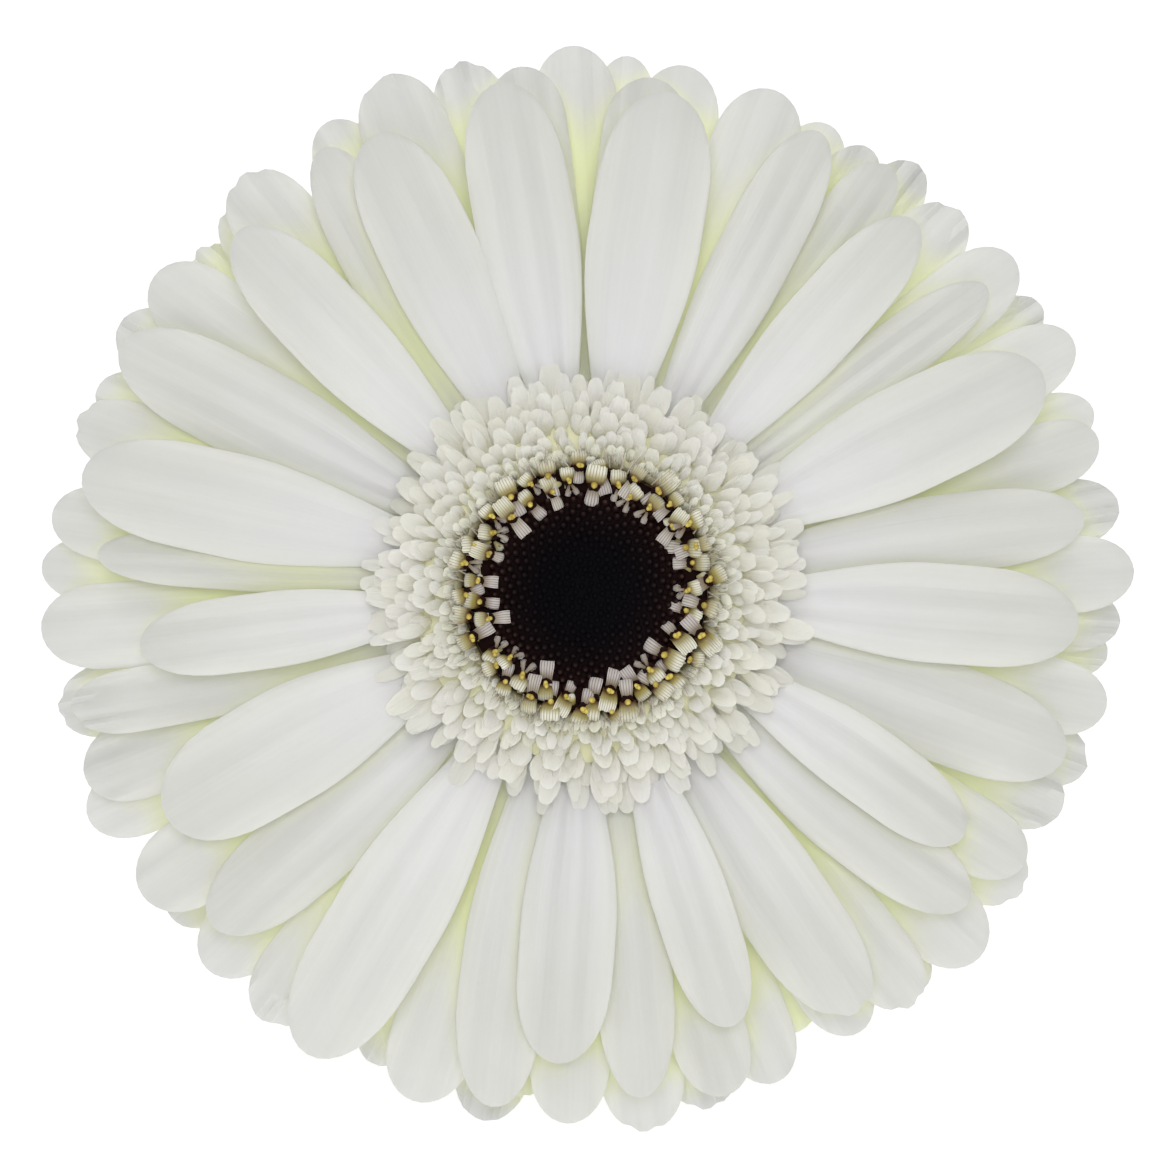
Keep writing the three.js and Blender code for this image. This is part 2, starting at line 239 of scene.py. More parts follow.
def blade(middle: np.ndarray, half_thickness: np.ndarray, values: dict[str, np.ndarray]) -> Surface:
    """Makes a closed blade that is thin at its whole border.

    Args:
        middle: the middle surface, rows along it by columns across it by 3.
        half_thickness: half the thickness at each of its points. The border counts as none.
        values: further values at each of its points.

    Returns:
        The blade, its upper side the one towards along times across.
    """
    rows, columns = middle.shape[:2]
    normal = np.cross(np.gradient(middle, axis=0), np.gradient(middle, axis=1))
    normal /= np.maximum(np.linalg.norm(normal, axis=2, keepdims=True), 1e-9)
    inside = np.zeros((rows, columns), dtype=bool)
    inside[1:-1, 1:-1] = True
    offset = normal * np.where(inside, half_thickness, 0.0)[..., None]
    upper = np.arange(rows * columns).reshape(rows, columns)
    lower = upper.copy()
    lower[inside] = rows * columns + np.arange(inside.sum())
    points = np.concatenate([(middle + offset).reshape(-1, 3), (middle - offset)[inside]])
    top = np.stack([upper[:-1, :-1], upper[1:, :-1], upper[1:, 1:], upper[:-1, 1:]], axis=-1)
    under = np.stack([lower[:-1, :-1], lower[:-1, 1:], lower[1:, 1:], lower[1:, :-1]], axis=-1)
    faces = [tuple(face) for face in np.concatenate([top.reshape(-1, 4), under.reshape(-1, 4)]).tolist()]
    spread = {name: np.concatenate([grid.ravel(), grid[inside]]) for name, grid in values.items()}
    return Surface(points, faces, spread)


def turned(profile: Sequence[tuple[float, float]], sides: int, names: tuple[str, ...]) -> Surface:
    """Turns an open profile that starts and ends on the axis.

    Args:
        profile: [radius, height] points, the first and the last at radius 0, anticlockwise.
        sides: how many sides the body has.
        names: the names of the values that it carries, all 0.

    Returns:
        A closed body.
    """
    angles = np.linspace(0.0, 2.0 * math.pi, sides, endpoint=False)
    rings = [[(r * math.cos(a), r * math.sin(a), z) for a in angles] for r, z in profile[1:-1]]
    sleeve = [point for ring in rings for point in ring]
    points = np.array([(0.0, 0.0, profile[0][1]), *sleeve, (0.0, 0.0, profile[-1][1])])
    last = len(points) - 1
    faces: list[tuple[int, ...]] = []
    for i in range(sides):
        j = (i + 1) % sides
        faces.append((0, 1 + j, 1 + i))
        for k in range(len(rings) - 1):
            a, b = 1 + k * sides, 1 + (k + 1) * sides
            faces.append((a + i, a + j, b + j, b + i))
        end = 1 + (len(rings) - 1) * sides
        faces.append((end + i, end + j, last))
    return Surface(points, faces, {name: np.zeros(len(points)) for name in names})


def spike(length: float, radius: float, sides: int) -> Surface:
    """Makes a thin closed cone that points up, for hairs and bristles.

    Args:
        length: its length.
        radius: its radius at the foot.
        sides: how many sides it has.

    Returns:
        The cone, from 0 along it at the foot to 1 at the point.
    """
    angles = np.linspace(0.0, 2.0 * math.pi, sides, endpoint=False)
    base = [(radius * math.cos(a), radius * math.sin(a), 0.0) for a in angles]
    points = np.array([*base, (0.0, 0.0, length)])
    faces = [(i, (i + 1) % sides, sides) for i in range(sides)] + [tuple(range(sides))[::-1]]
    along = np.array([0.0] * sides + [1.0])
    return Surface(points, faces, {ALONG: along, ACROSS: np.zeros(sides + 1)})


@dataclass(frozen=True)
class Strap:
    """A small strap-shaped blade that leaves the origin outward along x and bends in the xz plane.

    Angles are in degrees above x. Widths are shares of the full width.
    """

    length: float
    width: float
    start_angle: float
    end_angle: float
    thickness: float = 0.25
    root_share: float = 0.35
    widest_at: float = 0.7
    end_share: float = 0.3
    cup: float = 0.0
    twist: float = 0.0
    rounding: float = 0.0
    nick: float = 0.0
    teeth: int = 0
    nick_width: float = 0.35
    late_bend: float = 1.0
    end_roundness: float = 2.2
    tip_crowding: float = 1.25
    rows: int = 7
    columns: int = 5

    def surface(self) -> Surface:
        """Makes the strap.

        Returns:
            The strap, with how far along and across it each point is.
        """
        along = 1.0 - (1.0 - np.linspace(0.0, 1.0, self.rows)) ** self.tip_crowding
        across = np.sin(np.linspace(-math.pi / 2, math.pi / 2, self.columns))
        opening = self.root_share + (1.0 - self.root_share) * smoothstep(along, 0.0, self.widest_at)
        closing = np.clip((along - self.widest_at) / (1.0 - self.widest_at), 0.0, 1.0)
        closed = (1.0 - self.end_share**2) * closing**self.end_roundness
        half = 0.5 * self.width * opening * np.sqrt(1.0 - closed)
        reached = along[:, None] * (1.0 - self.bitten(across)[None, :] * along[:, None])
        fine = np.linspace(0.0, 1.0, BEND_STEPS)
        angle = np.radians(self.start_angle + (self.end_angle - self.start_angle) * fine**self.late_bend)
        x = np.interp(reached, fine, np.cumsum(np.cos(angle)) / BEND_STEPS * self.length)
        z = np.interp(reached, fine, np.cumsum(np.sin(angle)) / BEND_STEPS * self.length)
        here = np.interp(reached, fine, angle)
        side = half[:, None] * across[None, :]
        up = self.cup * half[:, None] * across[None, :] ** 2 + self.twist * side * along[:, None]
        middle = np.stack([x - up * np.sin(here), side, z + up * np.cos(here)], axis=-1)
        lens = np.full(side.shape, 0.5 * self.thickness)
        grids = {
            ALONG: np.repeat(along[:, None], self.columns, 1),
            ACROSS: np.repeat(across[None, :], self.rows, 0),
        }
        return blade(middle, lens, grids)

    def bitten(self, across: np.ndarray) -> np.ndarray:
        """Gives how much shorter the strap is where its end is nicked, toothed or rounded.

        Args:
            across: places across the strap, from -1 to 1.

        Returns:
            What is missing there, as shares of its length.
        """
        if self.teeth:
            bite = 0.5 - 0.5 * np.cos(math.pi * self.teeth * across)
        else:
            bite = np.exp(-((across / self.nick_width) ** 2))
        half_end = 0.5 * self.width * self.end_share / self.length
        return self.nick * bite + self.rounding * half_end * (1.0 - np.sqrt(1.0 - across**2))


# Growths


class Growth:
    """A Geometry Nodes tree with named inputs, and the way to run it once into a plain mesh."""

    def __init__(self, name: str, inputs: dict[str, str]) -> None:
        """Starts the tree.

        Args:
            name: the tree's name.
            inputs: the socket type of each named input.
        """
        self.tree = bpy.data.node_groups.new(name, "GeometryNodeTree")
        self.tree.interface.new_socket(name="Geometry", in_out="INPUT", socket_type="NodeSocketGeometry")
        for title, kind in inputs.items():
            self.tree.interface.new_socket(name=title, in_out="INPUT", socket_type=kind)
        self.tree.interface.new_socket(name="Geometry", in_out="OUTPUT", socket_type="NodeSocketGeometry")
        self.source = add_node(self.tree, "NodeGroupInput")

    def draw(self, low: object, high: object, series: int) -> bpy.types.NodeSocket:
        """Adds a random number for each item, from the tree's own seed.

        Args:
            low: the least value, or the socket that gives it.
            high: the greatest value, or the socket that gives it.
            series: which of the tree's series of draws this is.

        Returns:
            The socket with the number.
        """
        series_seed = {0: self.source.outputs["Seed"], 1: series}
        seed = add_node(self.tree, "ShaderNodeMath", series_seed, operation="ADD")
        limits = {RANDOM_LOW: low, RANDOM_HIGH: high, RANDOM_SEED: seed}
        node = add_node(self.tree, "FunctionNodeRandomValue", limits, data_type="FLOAT")
        return node.outputs[RANDOM_FLOAT]

    def stray(self, name: str, series: int, middle: object = 0.0) -> bpy.types.Node:
        """Adds a value that strays from its middle, for each item, by up to half of a named input.

        Args:
            name: the named input.
            series: which of the tree's series of draws this is.
            middle: the middle value, or what gives it.

        Returns:
            The node that gives the value.
        """
        by = {0: self.draw(-0.5, 0.5, series), 1: self.source.outputs[name], 2: middle}
        return add_node(self.tree, "ShaderNodeMath", by, operation="MULTIPLY_ADD")

    def close(self, points: object, rotation: object, scale: object) -> None:
        """Puts copies on the points, makes them real and gives them their finish.

        Args:
            points: the node that gives the points.
            rotation: the node that gives each copy's turn.
            scale: the socket that gives each copy's size.
        """
        tree = self.tree
        copies = add_node(
            tree,
            "GeometryNodeCollectionInfo",
            {"Collection": self.source.outputs["Copies"], "Separate Children": True, "Reset Children": True},
        )
        many = add_node(tree, "GeometryNodeAttributeDomainSize", {"Geometry": copies}, component="INSTANCES")
        picks = {0: self.draw(0.0, 1.0, PICK_SERIES), 1: many.outputs[INSTANCE_COUNT]}
        pick = add_node(tree, "ShaderNodeMath", picks, operation="MULTIPLY")
        which = add_node(tree, "ShaderNodeMath", {0: pick}, operation="FLOOR")
        marked = add_node(
            tree,
            "GeometryNodeStoreNamedAttribute",
            {"Geometry": points, "Name": DRAW, "Value": self.draw(0.0, 1.0, TONE_SERIES)},
            data_type="FLOAT",
            domain="POINT",
        )
        placed = add_node(
            tree,
            "GeometryNodeInstanceOnPoints",
            {
                "Points": marked,
                "Instance": copies,
                "Pick Instance": True,
                "Instance Index": which,
                "Rotation": rotation,
                "Scale": scale,
            },
        )
        real = add_node(tree, "GeometryNodeRealizeInstances", {"Geometry": placed})
        dressed = add_node(
            tree, "GeometryNodeSetMaterial", {"Geometry": real, "Material": self.source.outputs["Finish"]}
        )
        add_node(tree, "NodeGroupOutput", {"Geometry": dressed})

    def run(
        self, bed: bpy.types.Mesh | None, copies: list[Surface], values: dict[str, object]
    ) -> bpy.types.Mesh:
        """Runs the tree once.

        Args:
            bed: the mesh that it grows on, if any.
            copies: the shapes that it sets out.
            values: the values of its named inputs.

        Returns:
            A plain mesh.
        """
        patterns = bpy.data.collections.new("patterns")
        shapes = [bpy.data.objects.new("pattern", shape.mesh("pattern")) for shape in copies]
        for shape in shapes:
            patterns.objects.link(shape)
        host = bpy.data.objects.new("bed", bed or bpy.data.meshes.new("bed"))
        bpy.context.scene.collection.objects.link(host)
        modifier = host.modifiers.new("growth", "NODES")
        modifier.node_group = self.tree
        settings = {**values, "Copies": patterns}
        for item in self.tree.interface.items_tree:
            if item.in_out == "INPUT" and item.name in settings:
                modifier[item.identifier] = settings[item.name]
        depsgraph = bpy.context.evaluated_depsgraph_get()
        grown = bpy.data.meshes.new_from_object(
            host.evaluated_get(depsgraph), preserve_all_data_layers=True, depsgraph=depsgraph
        )
        host.modifiers.clear()
        for thing in [host, *shapes]:
            bpy.data.objects.remove(thing)
        bpy.data.collections.remove(patterns)
        return grown


def ring_growth() -> Growth:
    """Builds the tree that sets copies out round the flower's axis.

    Returns:
        The growth, whose copies point outward along their own x before they lean up.
    """
    floats = ["Radius", "Height", "Start", "Stray", "Radius spread", "Height spread"]
    floats += ["Lean", "Lean spread", "Roll spread", "Yaw spread", "Size", "Size spread"]
    kinds = {"Copies": "NodeSocketCollection", "Count": "NodeSocketInt", "Seed": "NodeSocketInt"}
    kinds |= {"Finish": "NodeSocketMaterial"} | {name: "NodeSocketFloat" for name in floats}
    growth = Growth("ring_of_copies", kinds)
    tree, given = growth.tree, growth.source.outputs
    index = add_node(tree, "GeometryNodeInputIndex")
    started = add_node(tree, "ShaderNodeMath", {0: index, 1: given["Start"]}, operation="ADD")
    strayed = growth.stray("Stray", 1, started)
    share = add_node(tree, "ShaderNodeMath", {0: strayed, 1: given["Count"]}, operation="DIVIDE")
    turn = add_node(tree, "ShaderNodeMath", {0: share, 1: 2.0 * math.pi}, operation="MULTIPLY")
    radius = growth.stray("Radius spread", 2, given["Radius"])
    height = growth.stray("Height spread", 3, given["Height"])
    out = add_node(tree, "ShaderNodeCombineXYZ", {"X": radius, "Z": height})
    place = add_node(tree, "ShaderNodeVectorRotate", {"Vector": out, "Angle": turn}, rotation_type="Z_AXIS")
    points = add_node(tree, "GeometryNodePoints", {"Count": given["Count"], "Position": place})
    lean = growth.stray("Lean spread", 4, given["Lean"])
    down = add_node(tree, "ShaderNodeMath", {0: lean, 1: -1.0}, operation="MULTIPLY")
    yaw = growth.stray("Yaw spread", 5, turn)
    roll = growth.stray("Roll spread", 6)
    euler = add_node(tree, "ShaderNodeCombineXYZ", {"X": roll, "Y": down, "Z": yaw})
    rotation = add_node(tree, "FunctionNodeEulerToRotation", {"Euler": euler})
    grown = growth.stray("Size spread", 7, 1.0)
    size = add_node(tree, "ShaderNodeMath", {0: grown, 1: given["Size"]}, operation="MULTIPLY")
    growth.close(points, rotation, size)
    return growth


def spiral_growth() -> Growth:
    """Builds the tree that sets copies out on the spiral of a seed head.

    Returns:
        The growth, whose copies stand up along their own z.
    """
    floats = ["Radius", "Crown", "Edge", "Middle size", "Rim size", "Size spread", "Splay", "Stray"]
    kinds = {"Copies": "NodeSocketCollection", "Count": "NodeSocketInt", "Seed": "NodeSocketInt"}
    kinds |= {"Finish": "NodeSocketMaterial"} | {name: "NodeSocketFloat" for name in floats}
    growth = Growth("seed_spiral", kinds)
    tree, given = growth.tree, growth.source.outputs
    index = add_node(tree, "GeometryNodeInputIndex")
    half_on = add_node(tree, "ShaderNodeMath", {0: index, 1: 0.5}, operation="ADD")
    area = add_node(tree, "ShaderNodeMath", {0: half_on, 1: given["Count"]}, operation="DIVIDE")
    share = add_node(tree, "ShaderNodeMath", {0: area}, operation="SQRT")
    turn = add_node(tree, "ShaderNodeMath", {0: index, 1: GOLDEN_ANGLE}, operation="MULTIPLY")
    even = add_node(tree, "ShaderNodeMath", {0: share, 1: given["Radius"]}, operation="MULTIPLY")
    radius = growth.stray("Stray", 2, even)
    fall = add_node(tree, "ShaderNodeMath", {0: given["Edge"], 1: given["Crown"]}, operation="SUBTRACT")
    falls = {0: area, 1: fall, 2: given["Crown"]}
    height = add_node(tree, "ShaderNodeMath", falls, operation="MULTIPLY_ADD")
    out = add_node(tree, "ShaderNodeCombineXYZ", {"X": radius, "Z": height})
    place = add_node(tree, "ShaderNodeVectorRotate", {"Vector": out, "Angle": turn}, rotation_type="Z_AXIS")
    points = add_node(tree, "GeometryNodePoints", {"Count": given["Count"], "Position": place})
    outer = add_node(tree, "ShaderNodeMath", {0: share, 1: EYE_SHADE_POWER}, operation="POWER")
    black_middle = add_node(tree, "ShaderNodeMath", {0: 1.0, 1: outer}, operation="SUBTRACT")
    marked = add_node(
        tree,
        "GeometryNodeStoreNamedAttribute",
        {"Geometry": points, "Name": SHADE, "Value": black_middle},
        data_type="FLOAT",
        domain="POINT",
    )
    splay = add_node(tree, "ShaderNodeMath", {0: share, 1: given["Splay"]}, operation="MULTIPLY")
    euler = add_node(tree, "ShaderNodeCombineXYZ", {"Y": splay, "Z": turn})
    rotation = add_node(tree, "FunctionNodeEulerToRotation", {"Euler": euler})
    sizes = {0: given["Rim size"], 1: given["Middle size"]}
    step = add_node(tree, "ShaderNodeMath", sizes, operation="SUBTRACT")
    steps = {0: share, 1: step, 2: given["Middle size"]}
    even_size = add_node(tree, "ShaderNodeMath", steps, operation="MULTIPLY_ADD")
    grown = growth.stray("Size spread", 3, 1.0)
    size = add_node(tree, "ShaderNodeMath", {0: even_size, 1: grown}, operation="MULTIPLY")
    growth.close(marked, rotation, size)
    return growth


def down_growth() -> Growth:
    """Builds the tree that scatters hairs over a surface.

    Returns:
        The growth, which leans each hair from the surface's own normal.
    """
    floats = ["Density", "Lean spread", "Size", "Size spread"]
    kinds = {"Copies": "NodeSocketCollection", "Seed": "NodeSocketInt", "Finish": "NodeSocketMaterial"}
    kinds |= {name: "NodeSocketFloat" for name in floats}
    growth = Growth("down", kinds)
    tree, given = growth.tree, growth.source.outputs
    downy = add_node(tree, "GeometryNodeInputNamedAttribute", {"Name": DOWNY}, data_type="FLOAT")
    density = add_node(tree, "ShaderNodeMath", {0: downy, 1: given["Density"]}, operation="MULTIPLY")
    points = add_node(
        tree,
        "GeometryNodeDistributePointsOnFaces",
        {"Mesh": given["Geometry"], "Density": density, "Seed": given["Seed"]},
        distribute_method="RANDOM",
    )
    leans = {"X": growth.stray("Lean spread", 1), "Y": growth.stray("Lean spread", 2)}
    euler = add_node(tree, "ShaderNodeCombineXYZ", leans)
    leaned = add_node(tree, "FunctionNodeEulerToRotation", {"Euler": euler})
    rotation = add_node(
        tree,
        "FunctionNodeRotateRotation",
        {"Rotation": points.outputs["Rotation"], "Rotate By": leaned},
        rotation_space="LOCAL",
    )
    grown = growth.stray("Size spread", 3, 1.0)
    size = add_node(tree, "ShaderNodeMath", {0: grown, 1: given["Size"]}, operation="MULTIPLY")
    growth.close(points, rotation, size)
    return growth


def stalk_growth() -> Growth:
    """Builds the tree that draws a ribbed stalk along a path.

    Returns:
        The growth, whose bed is a line of points.
    """
    floats = ["Top radius", "End radius", "Rib depth", "Swelling"]
    kinds = {"Sides": "NodeSocketInt", "Ribs": "NodeSocketInt", "Finish": "NodeSocketMaterial"}
    kinds |= {name: "NodeSocketFloat" for name in floats}
    growth = Growth("ribbed_stalk", kinds)
    tree, given = growth.tree, growth.source.outputs
    path = add_node(tree, "GeometryNodeMeshToCurve", {"Mesh": given["Geometry"]})
    factor = add_node(tree, "GeometryNodeSplineParameter")
    radii = {0: given["End radius"], 1: given["Top radius"]}
    step = add_node(tree, "ShaderNodeMath", radii, operation="SUBTRACT")
    steps = {0: factor, 1: step, 2: given["Top radius"]}
    even = add_node(tree, "ShaderNodeMath", steps, operation="MULTIPLY_ADD")
    uneven = {"Scale": SWELLINGS_PER_MM, "Detail": 1.0}
    noise = add_node(tree, "ShaderNodeTexNoise", uneven, noise_dimensions="3D")
    swell = add_node(tree, "ShaderNodeMath", {0: noise, 1: 0.5}, operation="SUBTRACT")
    swells = {0: swell, 1: given["Swelling"], 2: even}
    swollen = add_node(tree, "ShaderNodeMath", swells, operation="MULTIPLY_ADD")
    thick = add_node(tree, "GeometryNodeSetCurveRadius", {"Curve": path, "Radius": swollen})
    marked = add_node(
        tree,
        "GeometryNodeStoreNamedAttribute",
        {"Geometry": thick, "Name": ALONG, "Value": factor},
        data_type="FLOAT",
        domain="POINT",
    )
    round_section = {"Resolution": given["Sides"], "Radius": 1.0}
    circle = add_node(tree, "GeometryNodeCurvePrimitiveCircle", round_section, mode="RADIUS")
    around = add_node(tree, "GeometryNodeInputIndex")
    share = add_node(tree, "ShaderNodeMath", {0: around, 1: given["Sides"]}, operation="DIVIDE")
    phase = add_node(tree, "ShaderNodeMath", {0: share, 1: given["Ribs"]}, operation="MULTIPLY")
    angle = add_node(tree, "ShaderNodeMath", {0: phase, 1: 2.0 * math.pi}, operation="MULTIPLY")
    wave = add_node(tree, "ShaderNodeMath", {0: angle}, operation="COSINE")
    ribs = {0: wave, 1: given["Rib depth"], 2: 1.0}
    depth = add_node(tree, "ShaderNodeMath", ribs, operation="MULTIPLY_ADD")
    position = add_node(tree, "GeometryNodeInputPosition")
    ribbed = add_node(tree, "ShaderNodeVectorMath", {0: position, "Scale": depth}, operation="SCALE")
    section = add_node(tree, "GeometryNodeSetPosition", {"Geometry": circle, "Position": ribbed})
    numbered = add_node(
        tree,
        "GeometryNodeStoreNamedAttribute",
        {"Geometry": section, "Name": ACROSS, "Value": share},
        data_type="FLOAT",
        domain="POINT",
    )
    radius = add_node(tree, "GeometryNodeInputRadius")
    sweep = {"Curve": marked, "Profile Curve": numbered, "Scale": radius, "Fill Caps": True}
    tube = add_node(tree, "GeometryNodeCurveToMesh", sweep)
    smooth = add_node(tree, "GeometryNodeSetShadeSmooth", {"Geometry": tube})
    dressed = add_node(tree, "GeometryNodeSetMaterial", {"Geometry": smooth, "Material": given["Finish"]})
    add_node(tree, "NodeGroupOutput", {"Geometry": dressed})
    return growth


# Finishes


@dataclass(frozen=True)
class Tissue:
    """Plant tissue as a finish: a colour from root to tip, streaks, clouds and a soft sheen.

    The depth is the colour that the shade attribute lays on: painted shade on the petals, the cushion and
    the lips' throats, and the black of the eye's middle. Thin tissue also lets through light of the glow's
    colour.
    """

    name: str
    root: str
    tip: str
    depth: str = ""
    glow: str = "#FFFFFF"
    glow_share: float = 0.0
    ramp: tuple[float, float] = (0.0, 1.0)
    roughness: float = 0.5
    specular: float = 0.35
    streaks: float = 14.0
    streak_depth_mm: float = 0.03
    streak_colour: float = 0.04
    # Painted light: a lighter colour towards the edges across the piece
    edge: str = "#FFFFFF"
    edge_share: float = 0.0
    tint: str = "#FFFFFF"
    tint_share: float = 0.0
    stripes: int = 0
    stripe_colour: str = "#FFFFFF"
    mottle: float = 0.03
    mottle_mm: float = 9.0

    def material(self) -> bpy.types.Material:
        """Makes the material.

        Returns:
            The material, which reads the piece's own along, across, draw and shade attributes.
        """
        material = bpy.data.materials.new(self.name)
        material.use_nodes = True
        tree = material.node_tree
        tree.nodes.clear()
        streak = self.streak(tree)
        colour = self.colour(tree, streak)
        normal = self.relief(tree, streak)
        shader = add_node(
            tree,
            "ShaderNodeBsdfPrincipled",
            {
                "Base Color": colour,
                "Roughness": self.roughness,
                "IOR": REFRACTION,
                "Specular IOR Level": self.specular,
                "Normal": normal,
            },
        )
        if self.glow_share:
            lit = {"Color": linear(self.glow), "Normal": normal}
            through = add_node(tree, "ShaderNodeBsdfTranslucent", lit)
            shader = add_node(tree, "ShaderNodeMixShader", {0: self.glow_share, 1: shader, 2: through})
        add_node(tree, "ShaderNodeOutputMaterial", {"Surface": shader})
        return material

    def value(self, tree: bpy.types.NodeTree, name: str) -> bpy.types.NodeSocket:
        """Adds a node that reads one of the piece's attributes."""
        return add_node(tree, "ShaderNodeAttribute", attribute_name=name).outputs["Fac"]

    def streak(self, tree: bpy.types.NodeTree) -> bpy.types.Node:
        """Adds the pattern of fine streaks along the tissue.

        Args:
            tree: the material's tree.

        Returns:
            The pattern, from 0 to 1.
        """
        spots = {"X": self.value(tree, ACROSS), "Y": self.value(tree, ALONG), "Z": self.value(tree, DRAW)}
        place = add_node(tree, "ShaderNodeCombineXYZ", spots)
        stretched = {0: place, 1: (0.5 * self.streaks, STREAK_BREAKS, DRAW_STEP)}
        drawn_out = add_node(tree, "ShaderNodeVectorMath", stretched, operation="MULTIPLY")
        fine = {"Vector": drawn_out, "Scale": 1.0, "Detail": 1.0, "Roughness": 0.6}
        return add_node(tree, "ShaderNodeTexNoise", fine)

    def layers(self, tree: bpy.types.NodeTree) -> list[tuple[object, str]]:
        """Lists the colours that lie over the root's, from the lowest layer up.

        Args:
            tree: the material's tree.

        Returns:
            What gives each layer's share, and its colour.
        """
        along = {"Value": self.value(tree, ALONG), "From Min": self.ramp[0], "From Max": self.ramp[1]}
        layers = [(add_node(tree, "ShaderNodeMapRange", along, interpolation_type="SMOOTHSTEP"), self.tip)]
        # Painted light along the edges
        if self.edge_share:
            off = add_node(tree, "ShaderNodeMath", {0: self.value(tree, ACROSS)}, operation="ABSOLUTE")
            limits = {"Value": off, "From Min": PAINTED_EDGE_LIGHT_FROM, "From Max": 1.0, "To Max": self.edge_share}
            layers.append((add_node(tree, "ShaderNodeMapRange", limits), self.edge))
        if self.tint_share:
            share = {0: self.value(tree, DRAW), 1: self.tint_share}
            layers.append((add_node(tree, "ShaderNodeMath", share, operation="MULTIPLY"), self.tint))
        if self.stripes:
            turns = {0: self.value(tree, ACROSS), 1: math.pi * self.stripes}
            phase = add_node(tree, "ShaderNodeMath", turns, operation="MULTIPLY")
            wave = add_node(tree, "ShaderNodeMath", {0: phase}, operation="COSINE")
            limits = {"Value": wave, "From Min": STRIPE_FROM, "From Max": 1.0}
            layers.append((add_node(tree, "ShaderNodeMapRange", limits), self.stripe_colour))
        # Painted shade where the shade attribute says, and on the eye its black middle
        if self.depth:
            layers.append((self.value(tree, SHADE), self.depth))
        return layers

    def colour(self, tree: bpy.types.NodeTree, streak: bpy.types.Node) -> bpy.types.Node:
        """Adds the tissue's colour: its layers, dimmed a little by streaks and clouds.

        Args:
            tree: the material's tree.
            streak: the pattern of streaks.

        Returns:
            The node that gives the colour.
        """
        body: object = linear(self.root)
        for share, over in self.layers(tree):
            mixed = {MIX_SHARE: share, MIX_UNDER: body, MIX_OVER: linear(over)}
            body = add_node(tree, "ShaderNodeMix", mixed, data_type="RGBA").outputs[MIX_COLOUR]
        cloud = self.noise(tree, self.mottle_mm)
        tones = {0: self.tone(tree, streak, self.streak_colour), 1: self.tone(tree, cloud, self.mottle)}
        tone = add_node(tree, "ShaderNodeMath", tones, operation="MULTIPLY")
        return add_node(tree, "ShaderNodeVectorMath", {0: body, "Scale": tone}, operation="SCALE")

    def tone(self, tree: bpy.types.NodeTree, pattern: bpy.types.Node, loss: float) -> bpy.types.Node:
        """Turns a pattern to a brightness.

        Args:
            tree: the material's tree.
            pattern: the pattern.
            loss: the share of the brightness that its darkest parts lose.

        Returns:
            The node that gives the brightness.
        """
        low, high = NOISE_RANGE
        limits = {"Value": pattern, "From Min": low, "From Max": high, "To Min": 1.0 - loss, "To Max": 1.0}
        return add_node(tree, "ShaderNodeMapRange", limits)

    def noise(self, tree: bpy.types.NodeTree, size_mm: float) -> bpy.types.Node:
        """Adds a cloudy pattern that is fixed in the piece.

        Args:
            tree: the material's tree.
            size_mm: about how wide its clouds are.

        Returns:
            The pattern, from 0 to 1.
        """
        place = add_node(tree, "ShaderNodeTexCoord").outputs["Object"]
        fine = {"Vector": place, "Scale": 1.0 / (size_mm * MM), "Detail": 1.0}
        return add_node(tree, "ShaderNodeTexNoise", fine)

    def relief(self, tree: bpy.types.NodeTree, streak: bpy.types.Node) -> bpy.types.Node:
        """Adds the streaks as relief.

        Args:
            tree: the material's tree.
            streak: the pattern of streaks.

        Returns:
            The node that gives the normal.
        """
        depth = self.streak_depth_mm * MM
        return add_node(tree, "ShaderNodeBump", {"Height": streak, "Distance": depth, "Strength": 1.0})


